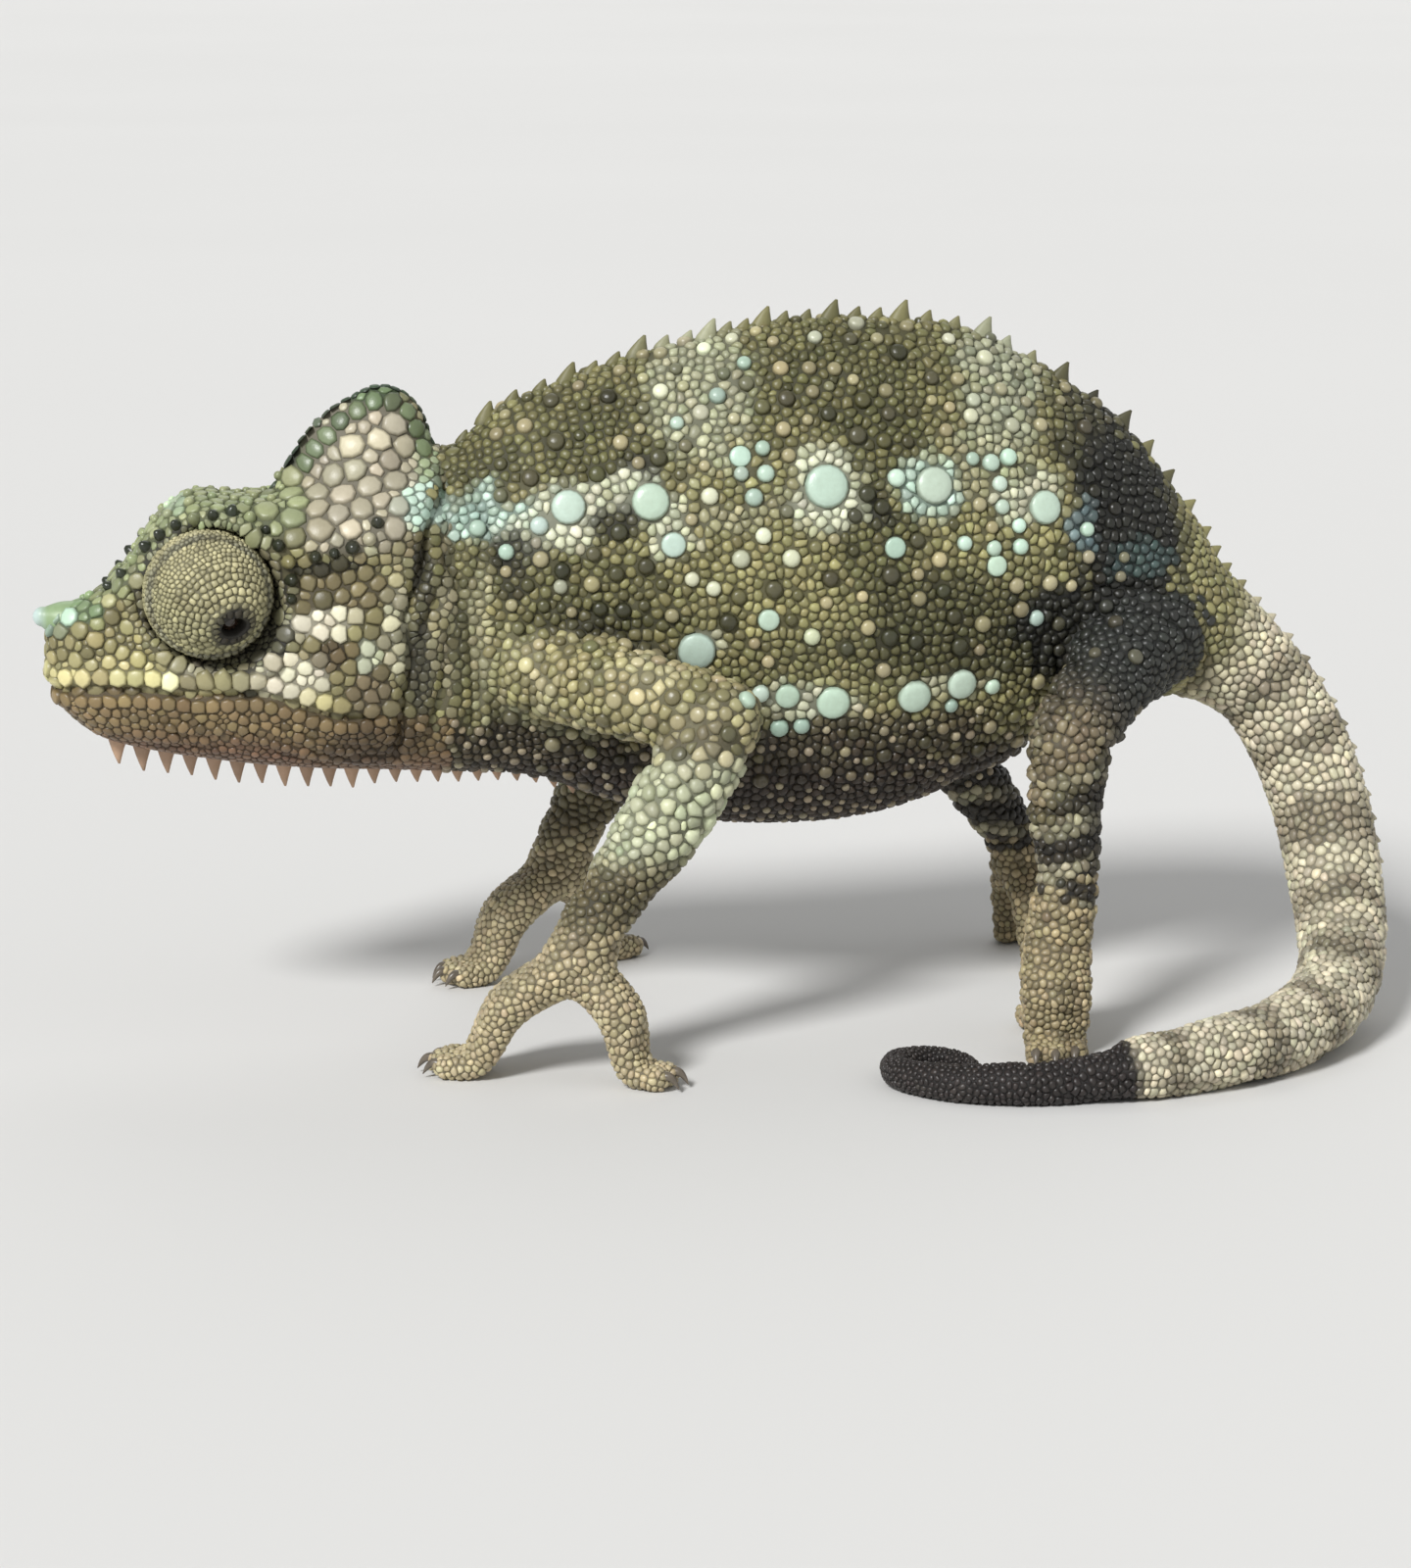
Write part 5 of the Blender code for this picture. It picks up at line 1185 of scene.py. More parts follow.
places, outs = scattered(on_crown, 500)
coat.plant(places, outs, RNG.uniform(0.24, 0.38, len(places)), "knob", spacing=1.7, height=1.1)
turns = np.radians(np.arange(-28, 172, 3.0))
rays = np.column_stack([np.cos(turns), np.zeros(len(turns)), np.sin(turns)])
rim_hits = [(*cast(CASQUE_HUB + ray * 14, -ray), ray) for ray in rays]
rim_hits = [row for row in rim_hits if row[0] is not None and row[0][0] < -16.9 and row[0][2] > 33.5]
for hit, out, _ in rim_hits:
    coat.plant(hit[None], [out], [0.4], "rim edge", 0.72, height=0.24)
for hit, _, ray in rim_hits:
    places, outs = on_skin([hit - ray * 0.75 + (0, side * 1.1, 0) for side in (-1, 1)], 2.0)
    coat.plant(places, outs, [0.66] * len(places), "rim plate", 0.8, height=0.28)
print(len(coat.rows) - planted_before, "plates and beads in rows")

# %% Plant the head's plates
def on_head(middle):
    """Whether each place is on the head."""
    return (middle[:, 0] < -16.9) & (middle[:, 2] > 15.5)


def plate_radius(places):
    """How large the plates are at each place on the head. A later area lies over the earlier ones."""
    x, _, z = places.T
    lip_z = np.interp(x, MOUTH[:, 0], MOUTH[:, 1])
    areas = (
        (x < -34.5, 0.55),  # snout
        ((x > -29) & (x < -18.2) & (z > 31.6), 0.8),  # casque
        ((x > -27.5) & (z > 27.0) & (z < 30.6), 0.60),  # temple
        ((x > -28.5) & (x < -20.5) & (z > lip_z) & (z <= 27.0), 0.56),  # cheek
        (z < lip_z - 1.0, 0.36),  # jaw
        (z < lip_z - 3.2, 0.27),  # throat
        ((x > -19.3) & (z >= 33) & (z < 36.5), 0.36),  # behind the casque
        ((x > -19.3) & (z < 33), 0.34),  # nape
    )
    radius = np.full(len(x), 0.46)
    for inside, size in areas:
        radius = np.where(inside, size, radius)
    return radius


def spread(loose, kind, first, freedom, rounds):
    """Spreads the planted scales numbered in loose. Only one kind, planted from first on, may move."""
    rows = [coat.rows[i] for i in loose]
    free = freedom * np.array([row[0] == kind and i >= first for i, row in zip(loose, rows)])
    places, outs, radii = (np.array([row[k] for row in rows]) for k in (1, 2, 4))
    coat.move(loose, *settled(places, outs, radii, free, rounds))


def keep_off_horn():
    """Leaves room for the horn, as if scales stood there."""
    for share in (0.0, 0.35, 0.7):
        coat.file((HORN_BASE + (HORN_TIP - HORN_BASE) * share).tolist(), 0.95)


planted_before = len(coat.rows)
keep_off_horn()
for share, count in ((1.0, 16000), (0.62, 14000), (0.42, 12000)):
    places, outs = scattered(on_head, count)
    radii = np.maximum(plate_radius(places) * share, 0.22) * RNG.uniform(0.88, 1.08, len(places))
    coat.plant(places, outs, radii, "plate", 0.76, RNG.normal(size=(len(places), 3)), height=0.33)
head_rows = [i for i, row in enumerate(coat.rows) if on_head(np.array([row[1]]))[0]]
spread(head_rows, "plate", planted_before, 1.0, 6)
keep_off_horn()
places, outs = scattered(on_head, 22000, -0.9)
coat.plant(places, outs, np.full(len(places), 0.17), "granule", 1.02)
print(len(coat.rows) - planted_before, "plates and granules on the head")

# %% [markdown]
# On the body the granules lie in rough rows across the spine. Rows that are a little uneven look grown, where
# perfect rows look like cloth. Each row runs round one section of the loft and is then set on the skin.

# %% Plant the rows of granules
def rows_round(name, size_at):
    """Places in rows round one loft, a granule's width apart."""
    rings, along, *_ = CHARTS[name]
    unevenness = 0.08 if name == "tail" else 0.17
    found, at, number = [], 0.0, 0
    while at < along[-1]:
        place = np.interp(at, along, np.arange(len(along)))
        low = min(int(place), len(along) - 2)
        ring = rings[low] * (1 - place + low) + rings[low + 1] * (place - low)
        ring = np.vstack([ring, ring[:1]])
        length = lengths_along(ring)[-1]
        pitch = size_at(at / along[-1]) * 1.72
        count = max(int(length / pitch), 5)
        marks = (np.arange(count) + 0.25 * (number % 2)) * length / count
        marks = (marks + unevenness * pitch * RNG.normal(size=count)) % length
        found.append(along_row(ring, marks))
        at += pitch * 0.9
        number += 1
    found = np.vstack(found)
    return found + RNG.normal(scale=0.05, size=found.shape)


# A granule's radius along each kind of loft: shares of its length, and the radius at each
GRANULE_RADII = {
    "trunk": ((0,), (0.31,)),
    "tail": ((0, 0.25, 0.6, 0.8, 1), (0.32, 0.32, 0.27, 0.19, 0.11)),
    "upper_arm": ((0,), (0.36,)),
    "forearm": ((0, 0.25, 0.55, 0.7, 1), (0.36, 0.46, 0.46, 0.32, 0.3)),
    "thigh": ((0,), (0.31,)),
    "shin": ((0,), (0.31,)),
    "toes": ((0, 1), (0.25, 0.20)),
    "": ((0,), (0.27,)),
}


def granule_radius(name):
    """A granule's radius along one loft, from its start (0) to its end (1)."""
    sizes = next(sizes for word, sizes in GRANULE_RADII.items() if word in name)
    return lambda share: np.interp(share, *sizes)


planted_before = len(coat.rows)
for name, (rings, along, *_) in CHARTS.items():
    if name in ("head", "casque"):
        continue
    size_at = granule_radius(name)
    places, outs = on_skin(rows_round(name, size_at), 0.9)
    owner, _ = part_and_uv(places)
    kept = (owner == name) & ((places[:, 0] > -17.2) | (places[:, 2] < 15.5)) & (places[:, 2] > 0.12)
    places, outs = places[kept], outs[kept]
    middles = nearest_tree(rings.mean(axis=1))
    share = np.array([along[middles.find(p)[1]] for p in places]) / along[-1]
    radii = size_at(share) * RNG.uniform(0.86, 1.14, len(places))
    coat.plant(places, outs, radii, "granule", 0.76, RNG.normal(size=(len(places), 3)), height=0.66)
print(len(coat.rows) - planted_before, "granules in rows")

body_rows = [i for i, row in enumerate(coat.rows) if not on_head(np.array([row[1]]))[0]]
spread(body_rows, "granule", 0, 0.8, 2)

planted_before = len(coat.rows)
places, outs = scattered(lambda middle: ~on_head(middle) & (middle[:, 2] > 0.2), 60000)
room = np.where(places[:, 2] < 8, 0.16, 0.2)
coat.plant(places, outs, room * RNG.uniform(0.9, 1.15, len(places)), "granule", 0.95)
print(len(coat.rows) - planted_before, "granules to fill the gaps,", len(coat.rows), "scales in all")

# %% Find the borders between neighbours
def field_of(places, outs, radii):
    """Scales that crowd one another: their places, directions and radii, and the borders between them."""
    return places, outs, radii, borders_between(places, outs, radii)


def fitted(made, field, chosen, sides):
    """Shortens each scale's spokes to its borders. chosen numbers this piece's scales in the field."""
    places, outs, radii, borders = field
    centres, up = places[chosen][:, None], outs[chosen][:, None]
    spots = corners(made.data).reshape(len(chosen), -1, 3)
    rise = ((spots - centres) * up).sum(axis=2, keepdims=True) * up
    flat = spots - centres - rise
    reach = reaches(borders, chosen, unit(flat[:, :sides]), radii)
    share = np.ones(spots.shape[:2])
    share[:, :-1] = np.tile(reach / radii[chosen][:, None], (spots.shape[1] - 1) // sides)
    set_corners(made.data, (centres + rise + flat * share[..., None]).reshape(-1, 3))


kinds = np.array([row[0] for row in coat.rows])
scale_places, scale_outs, scale_runs, scale_radii = (
    np.array([row[k] for row in coat.rows], float) for k in (1, 2, 3, 4))
scale_sizes = np.array([(radius * long, radius * wide, radius * height)
                        for *_, radius, (long, wide), height in coat.rows])
COAT_FIELD = field_of(scale_places, scale_outs, scale_radii)
border_count = len(COAT_FIELD[3][0])
print(border_count, "borders, about", round(border_count / len(scale_places), 1), "to a scale")

# %% [markdown]
# Each scale takes the colour of the skin under it, a little lighter or darker than its neighbours. The named
# round scales have colours of their own. Of the rest some are pale, some almost black, and tan on the belly.
# Small scales in the skin's folds are darkened as painted shade.

# %% Colour the scales
scale_parts, scale_roots = part_and_uv(scale_places)
tints = marked(scale_places, scale_parts)
brightness = tints @ (0.3, 0.6, 0.1)
large = (kinds == "tubercle") | (kinds == "knob")
chance = RNG.random(len(tints))
on_belly = (scale_places[:, 2] < 20.5) & (scale_radii < 0.37)
knobs = large * ~on_belly * ~np.isin(scale_parts, ("head", "casque")) * step(0.01, 0.07, brightness)
tints = layered(tints, (
    (large * on_belly * 0.7, srgb(176, 164, 138)),
    (knobs * (chance < 0.55) * 0.55, srgb(188, 178, 142)),
    (knobs * (chance >= 0.55) * 0.6, srgb(62, 62, 42)),
))
known_tree = nearest_tree([place for place, _ in known])
for i in np.flatnonzero(large):
    _, number, distance = known_tree.find(scale_places[i])
    if distance < 0.25:
        tints[i] += (known[number][1] - tints[i]) * 0.85
tints = layered(tints, (
    ((kinds == "bead") * (chance < 0.8) * 0.95, srgb(30, 37, 27)),
    ((kinds == "rim plate") * 0.85, RIM_GREEN),
))
# Small scales in the skin's folds are darkened: painted shade in the creases.
fold_shade = crease[[skin_points_tree.find(place)[1] for place in scale_places]]
tints = tints * (1 - 0.38 * fold_shade * ~large)[:, None]
from_moat, not_bead = moat_gap(scale_places), kinds != "bead"
tints = layered(tints, (
    ((kinds == "rim edge") * 0.9, srgb(66, 84, 66)),
    ((from_moat < 0.12) * not_bead * 0.7, srgb(112, 110, 92)),
    ((np.abs(from_moat - 0.5) < 0.35) * not_bead * 0.45, srgb(136, 136, 108)),
))
shade = RNG.normal(scale=0.19, size=(len(tints), 1)) * np.where(kinds == "tubercle", 0.3, 1.0)[:, None]
tints = tints * np.exp(shade) * np.exp(RNG.normal(scale=0.018, size=tints.shape))
shiny = ((kinds == "bead", 0.95), (large, 0.75), (kinds == "plate", 0.5), (kinds == "rim plate", 0.7))
gloss = np.select(*zip(*shiny), 0.42)
print({str(kind): int((kinds == kind).sum()) for kind in np.unique(kinds)})

# %% [markdown]
# A finish is a small tree of nodes. One class wraps a socket, so that sums in the tree read as sums in
# Python. A scale's finish darkens towards its rim, as painted shade and dirt where scales meet.

# %% A helper for node trees


class Wire:
    """A socket of a node tree. Python's own operators on it add Math nodes."""

    def __init__(self, tree, socket=None):
        self.tree = tree
        self.socket = socket

    def node(self, kind, settings, sockets, output=0):
        """Adds a node to the tree and gives one of its outputs."""
        made = self.tree.nodes.new(kind)
        for name, value in settings.items():
            setattr(made, name, value)
        for name, value in sockets.items():
            if isinstance(value, Wire):
                self.tree.links.new(value.socket, made.inputs[name])
            else:
                made.inputs[name].default_value = value
        return Wire(self.tree, made.outputs[output])

    def maths(self, operation, first, second):
        return self.node("ShaderNodeMath", {"operation": operation}, {0: first, 1: second})

    def __add__(self, other):
        return self.maths("ADD", self, other)

    def __mul__(self, other):
        return self.maths("MULTIPLY", self, other)

    __radd__ = __add__
    __rmul__ = __mul__


def new_finish(name):
    """A material, the start of its tree, and the Principled shader's inputs."""
    material = bpy.data.materials.new(name)
    material.use_nodes = True
    shader = material.node_tree.nodes["Principled BSDF"]
    return material, Wire(material.node_tree), shader.inputs


def joined(wire, socket):
    """Links a wire to a socket that is there already."""
    wire.tree.links.new(wire.socket, socket)


def fine_noise(wire, scale, detail=3.0):
    place = wire.node("ShaderNodeTexCoord", {}, {}, "Object")
    return wire.node("ShaderNodeTexNoise", {}, {"Vector": place, "Scale": scale, "Detail": detail}, "Fac")


def coloured(wire, blend, factor, first, second):
    """Two colours mixed. Sockets 6 and 7 are the Mix node's colours, and output 2 is its colour."""
    settings = {"data_type": "RGBA", "blend_type": blend}
    return wire.node("ShaderNodeMix", settings, {0: factor, 6: first, 7: second}, 2)


# %% The finishes of skin and scales
# The first colour darkens each scale's rim: painted shade, with dirt, where scales meet.
RIM_SHADE_AND_DIRT, SPECKLE = (0.20, 0.19, 0.15, 1.0), (0.62, 0.60, 0.55, 1.0)
SPECKLE_SCALE = 2600.0
BUMP_DEPTH = 0.00004  # metres


def tinted_finish(name, rim_shade, rough, gloss_share, bump_scale, bump_strength):
    """A finish whose colour is each point's own tint, with painted shade and dirt at the rim, fine speckle
    and relief.
    """
    material, wire, inputs = new_finish(name)
    tint = wire.node("ShaderNodeAttribute", {"attribute_name": "tint"}, {}, "Color")
    rim = wire.node("ShaderNodeAttribute", {"attribute_name": "rim"}, {}, "Fac")
    shine = wire.node("ShaderNodeAttribute", {"attribute_name": "gloss"}, {}, "Fac")
    shaded = coloured(wire, "MULTIPLY", rim * rim_shade, tint, RIM_SHADE_AND_DIRT)
    speckle = fine_noise(wire, SPECKLE_SCALE)
    joined(coloured(wire, "MULTIPLY", speckle * 0.55, shaded, SPECKLE), inputs["Base Color"])
    joined(rough + speckle * 0.12 + shine * -gloss_share, inputs["Roughness"])
    relief = wire.node("ShaderNodeBump", {}, {"Strength": bump_strength, "Distance": BUMP_DEPTH,
                                              "Height": fine_noise(wire, bump_scale)}, "Normal")
    joined(relief, inputs["Normal"])
    return material


def plain_finish(name, dark, pale, rough, noise):
    """A finish of two colours mixed by noise of (scale, detail), with its shader's inputs."""
    material, wire, inputs = new_finish(name)
    joined(coloured(wire, "MIX", fine_noise(wire, *noise), (*dark, 1.0), (*pale, 1.0)), inputs["Base Color"])
    inputs["Roughness"].default_value = rough
    return material, inputs


# Each finish: painted shade at the rim, roughness, what gloss takes off it, the relief's scale and its
# strength
skin_finish = tinted_finish("chameleon skin", 0.0, 0.66, 0.0, 5200.0, 0.5)
scale_finish = tinted_finish("chameleon scales", 0.80, 0.47, 0.24, 6500.0, 0.35)
cone_finish = tinted_finish("crest cones", 0.45, 0.5, 0.1, 5000.0, 0.3)
lid_finish = tinted_finish("eyelid skin", 0.0, 0.62, 0.0, 6000.0, 0.5)
horn_finish = tinted_finish("nose horn", 0.0, 0.36, 0.0, 1500.0, 0.25)
print("finishes:", [m.name for m in (skin_finish, scale_finish, cone_finish, lid_finish, horn_finish)])

# %% [markdown]
# A scale is a low dome with a few dozen faces. One is modelled for each kind, and Geometry Nodes set a copy
# on every planted place, turned to the skin's outward direction and stretched to its size. The tree also
# writes the map for baking: each scale is a tiny patch at its root's place on the unwrapped skin.

# %% The shape of one scale
FIELDS = {"FLOAT": "value", "FLOAT_VECTOR": "vector", "FLOAT_COLOR": "color"}


def noted(data, name, kind, values):
    """Keeps a number, a direction or a colour for each of a mesh's points."""
    data.attributes.new(name, kind, "POINT").data.foreach_set(FIELDS[kind], np.asarray(values, float).ravel())


def painted(data, colours):
    """Gives each of a mesh's points its own colour."""
    noted(data, "tint", "FLOAT_COLOR", np.column_stack([colours, np.ones(len(colours))]))


def scale_shape(name, profile, sides, lean):
    """A turned shape of radius 1 and height 1. Its points note where they are in its patch and at its rim."""
    angle = 2 * math.pi * np.arange(sides) / sides
    circle = np.column_stack([np.cos(angle), np.sin(angle), np.zeros(sides)])
    rings = [circle * radius + (lean * max(height, 0) ** 2, 0, height) for radius, height in profile]
    places = np.vstack([*rings, [lean, 0.0, profile[-1][1] + 0.001]])
    *starts, last = range(0, len(profile) * sides, sides)
    turn = [(j, (j + 1) % sides) for j in range(sides)]
    faces = [(low + j, low + k, low + sides + k, low + sides + j) for low in starts for j, k in turn]
    faces += [(last + j, last + k, len(places) - 1) for j, k in turn]
    data = bpy.data.meshes.new(name)
    data.from_pydata(places.tolist(), [], faces)
    data.shade_smooth()
    noted(data, "leaf", "FLOAT_VECTOR", places * (0.5, 0.5, 0))
    radii = [*np.repeat([radius for radius, _ in profile], sides), 0.0]
    noted(data, "rim", "FLOAT", [max(0.0, (r - 0.83) / 0.17) ** 2 for r in radii])
    return placed(name, data)


SPOKES = 8  # sides of the kinds that are fitted to their neighbours
FITTED = ("granule", "plate", "rim plate", "rim edge")
# Each kind of scale: its sides, its lean, and (radius, height) for each ring from its root to near its top
PROFILES = {
    "granule": (SPOKES, 0.0, ((1.0, -0.9), (0.88, 0.34), (0.56, 0.84))),
    "plate": (SPOKES, 0.0, ((1.0, -1.3), (0.95, 0.40), (0.70, 0.86))),
    "tubercle": (16, 0.0, ((1.0, -0.9), (0.96, 0.40), (0.84, 0.76), (0.5, 0.95))),
    "knob": (12, 0.0, ((1.0, -0.9), (0.94, 0.26), (0.78, 0.64), (0.46, 0.92))),
    "bead": (9, 0.0, ((1.0, -0.5), (0.85, 0.25), (0.58, 0.66), (0.28, 0.92))),
    "cone": (9, 0.25, ((1.0, -0.3), (0.86, 0.0), (0.6, 0.32), (0.34, 0.64), (0.1, 0.92))),
}
SHAPES = {kind: scale_shape(f"{kind}_shape", profile, sides, lean)
          for kind, (sides, lean, profile) in PROFILES.items()}
SHAPES["rim plate"], SHAPES["rim edge"] = SHAPES["plate"], SHAPES["granule"]
print({kind: triangles_in(shape) for kind, shape in SHAPES.items()})

# %% The tree that plants the scales
PLANTING_INPUTS = {"Places": "Geometry", "Shape": "Object", "Patch": "Float", "Finish": "Material"}
PATCH = 0.003  # the size of one scale's patch in the map for baking


def planting_tree():
    """Copies a shape to every point, turns it to the skin and writes its map for baking."""
    tree = bpy.data.node_groups.new("scale planting", "GeometryNodeTree")
    for name, kind in PLANTING_INPUTS.items():
        tree.interface.new_socket(name, in_out="INPUT", socket_type="NodeSocket" + kind)
    tree.interface.new_socket("Scales", in_out="OUTPUT", socket_type="NodeSocketGeometry")
    wire = Wire(tree)
    given = tree.nodes.new("NodeGroupInput")
    put = {socket.name: Wire(tree, socket) for socket in given.outputs if socket.name}

    def named(name):
        return wire.node("GeometryNodeInputNamedAttribute", {"data_type": "FLOAT_VECTOR"}, {"Name": name})

    upright = wire.node("FunctionNodeAlignRotationToVector", {"axis": "Z"}, {"Vector": named("out")})
    turned = wire.node("FunctionNodeAlignRotationToVector", {"axis": "X", "pivot_axis": "Z"},
                       {"Rotation": upright, "Vector": named("run")})
    shape = wire.node("GeometryNodeObjectInfo", {}, {"Object": put["Shape"]}, "Geometry")
    copies = wire.node("GeometryNodeInstanceOnPoints", {}, {"Points": put["Places"], "Instance": shape,
                                                            "Rotation": turned, "Scale": named("size")})
    real = wire.node("GeometryNodeRealizeInstances", {}, {"Geometry": copies})
    spread = wire.node("ShaderNodeVectorMath", {"operation": "SCALE"},
                       {0: named("leaf"), "Scale": put["Patch"]})
    place = wire.node("ShaderNodeVectorMath", {"operation": "ADD"}, {0: named("root"), 1: spread})
    mapped = wire.node("GeometryNodeStoreNamedAttribute", {"data_type": "FLOAT2", "domain": "CORNER"},
                       {"Geometry": real, "Name": "OFBake", "Value": place})
    dressed = wire.node("GeometryNodeSetMaterial", {}, {"Geometry": mapped, "Material": put["Finish"]})
    out = tree.nodes.new("NodeGroupOutput")
    tree.links.new(dressed.socket, out.inputs[0])
    return tree


PLANTING = planting_tree()
print("planting tree:", len(PLANTING.nodes), "nodes")


def planted(name, shape, finish, places, outs, runs, sizes, roots, colours, shine):
    """One piece of many scales, from a point for each. shine may be one number for them all."""
    data = bpy.data.meshes.new(name)
    data.from_pydata(in_frame(places), [], [])
    roots = np.column_stack([roots, np.zeros(len(roots))])
    for key, values in (("out", outs), ("run", runs), ("size", sizes * METRES), ("root", roots)):
        noted(data, key, "FLOAT_VECTOR", values)
    painted(data, np.clip(colours, 0.001, 1))
    noted(data, "gloss", "FLOAT", np.broadcast_to(shine, len(places)))
    made = placed(name, data)
    modifier = made.modifiers.new("planting", "NODES")
    modifier.node_group = PLANTING
    values = {"Shape": shape, "Patch": PATCH, "Finish": finish}
    for item in PLANTING.interface.items_tree:
        if item.name in values:
            modifier[item.identifier] = values[item.name]
    applied(made)
    for key in ("out", "run", "size", "root", "leaf"):
        if key in made.data.attributes:
            made.data.attributes.remove(made.data.attributes[key])
    return made


# %% Plant every scale
x = scale_places[:, 0]
in_trunk, in_tail = np.isin(scale_parts, ("trunk", "neck")), scale_parts == "tail"
AREAS = (
    ("head", np.isin(scale_parts, ("head", "casque"))),
    ("shoulders", in_trunk & (x < -3)),
    ("flank_front", in_trunk & (x < 5)),
    ("flank_middle", in_trunk & (x < 13)),
    ("flank_rear", in_trunk & (x < 20)),
    ("rump", in_trunk),
    ("tail_upper", in_tail & (x > 30)),
    ("tail_end", in_tail),
    ("forelimbs", x < 5),
    ("hindlimbs", x >= 5),
)
area_names, area_masks = zip(*AREAS)
areas = np.select(area_masks, area_names, "")
coat_values = (scale_places, scale_outs, scale_runs, scale_sizes, scale_roots, tints, gloss)
coat_pieces = []
for area, kind in sorted(set(zip(areas.tolist(), kinds.tolist()))):
    chosen = np.flatnonzero((areas == area) & (kinds == kind))
    piece = planted(f"scales_{area}_{kind.replace(' ', '_')}", SHAPES[kind], scale_finish,
                    *(values[chosen] for values in coat_values))
    if kind in FITTED:
        fitted(piece, COAT_FIELD, chosen, SPOKES)
    coat_pieces.append(piece)
counts = [triangles_in(piece) for piece in coat_pieces]
print(len(coat_pieces), "pieces,", sum(counts), "triangles, most in one piece", max(counts))

# %% [markdown]
# The bare skin shows only as thin dark lines between scales, so it carries the same markings, darkened
# as painted shade in the cracks, and darker still as painted shade in the moat round each eye.

# %% Colour the skin
skin_parts, _ = part_and_uv(points)
# Darkened to about a third as painted shade between the scales, and near the eye moats darker still as
# painted shade.
skin_tints = marked(points, skin_parts) * 0.34
painted(skin.data, blended(skin_tints, (moat_gap(points) < 0.25) * 0.85, srgb(44, 42, 36)))
skin.data.shade_smooth()
skin.data.materials.append(skin_finish)
print("skin coloured at", len(points), "points")

# %% [markdown]
# A row of cones runs down the back, every third one tall, and another hangs from the chin like the teeth of
# a saw. They stand where the CAD model has them. Each is a leaning, slightly flattened cone.

# %% The crests of the back and throat
CREST_PITCH, CREST_ENDS = 1.4, 13.0  # mm, station
CREST_HEIGHTS = ((0, 1.0, 5.5, 7.0, 8.5, 13.0), (0.7, 1.0, 1.0, 0.6, 0.45, 0.25))  # stations, shares
THROAT_STARTS, THROAT_ENDS = -37.0, -8.0
THROAT_LENGTHS = ((-38, -27, -23, -20, -9), (1.6, 1.6, 1.5, 0.9, 0.6))
THROAT_PITCHES = ((-38, -24, -9), (1.5, 1.4, 1.15))


def crest(name, cones, tinted, shine):
    """One piece of cones, each given by its place, the way it points, the way it runs and its size."""
    places, outs, runs, sizes = (np.array(values) for values in zip(*cones))
    parts, roots = part_and_uv(places)
    return planted(name, SHAPES["cone"], cone_finish, places, outs, runs, sizes, roots,
                   tinted(places, parts), shine)


back_cones, at, number = [], 3.2, 0
while at < np.interp(CREST_ENDS, FINE, SPINE_LENGTH):
    place = np.interp(at, SPINE_LENGTH, FINE)
    tall = number % 3 == 1 or place > 6.0
    height = (1.2 if tall else 0.65) * np.interp(place, *CREST_HEIGHTS)
    lift, ahead = carried(SPINE_UP, [place])[0], carried(SPINE_ALONG, [place])[0]
    row = smooth(SPINE, [place])[0]
    hit, _ = cast(row[:3] + lift * (row[3] + 3), -lift)
    if hit is not None:
        radius = 0.34 + 0.34 * height
        size = (radius * 1.1, radius * 0.62, height + COAT_DEPTH)
        back_cones.append((hit, unit(lift + 0.25 * ahead), ahead, size))
    at += CREST_PITCH
    number += 1
dorsal_crest = crest("dorsal_crest", back_cones, lambda places, parts: marked(places, parts) * 0.9, 0.3)

throat_cones, x = [], THROAT_STARTS
while x < THROAT_ENDS:
    length = np.interp(x, *THROAT_LENGTHS) * RNG.uniform(0.9, 1.02)
    hit, _ = cast((x, 0, 5.0), (0, 0, 1))
    if hit is not None:
        radius = 0.36 + 0.21 * length
        size = (radius, radius * 0.7, length + COAT_DEPTH * 0.6)
        throat_cones.append((hit, unit(np.array([-0.05, 0.0, -1.0])), (1.0, 0, 0), size))
    x += np.interp(x, *THROAT_PITCHES)
throat_crest = crest("throat_crest", throat_cones,
                     lambda places, _: srgb(186, 154, 128) * RNG.uniform(0.8, 1.1, (len(places), 1)), 0.4)
print(len(back_cones), "cones on the back,", len(throat_cones), "under the throat")

# %% [markdown]
# A chameleon's eye is a turret: the lid covers the whole ball and leaves a small opening in front. Rings of
# tiny granules circle that opening. The turret is a turned shape with shallow furrows, and the granules are
# planted on it by the same tree. Inside the opening sits a dark, wet eye.

# %% The eye turrets
SIDES = ((-1, "left"), (1, "right"))
APERTURE = 0.84  # the opening's radius
OVAL = 0.34  # how much longer the opening is than it is tall
RING_STEP = 0.40
LID_RADIUS = EYE_RADIUS - 0.07  # the lid's skin lies this far inside the tops of its granules
LID_STARTS, LID_ENDS = math.asin(EYE_BACK / LID_RADIUS), math.acos(APERTURE / LID_RADIUS)
RING_WIDTHS = ((0.2, 0.5, 0.9, 1.3), (0.85, 1.15, 1.0, 0.75))  # angle from the gaze, share of RING_STEP


def lid_colour(turn, about, from_socket, shade):
    """The lid's colour by the angles from the gaze, round it and from the socket's axis, and by noise, with
    painted light and shade.
    """
    return layered(np.tile(srgb(164, 160, 122), (len(turn), 1)), (
        # paler on top: the lid's own paler colour and painted light
        (step(-0.1, 0.9, np.sin(about)) * 0.6, srgb(192, 185, 146)),
        # darker low on the far side of the turret: painted shade
        (step(0.0, 0.8, -np.sin(about + 0.85)) * step(0.4, 0.9, turn) * 0.85, srgb(74, 71, 56)),
        (bump(from_socket - 1.2 + 0.03 * shade, 0.1) * 0.9, srgb(140, 139, 118)),
        # a thin dark line in the lid's furrow: painted shade
        (bump(from_socket - 1.14, 0.03) * 0.75, srgb(58, 56, 46)),
        (1 - step(0.27, 0.42, turn + 0.08 * shade), srgb(56, 51, 40)),
        (step(0.1, 0.6, shade) * 0.5, srgb(128, 121, 88)),
    ))


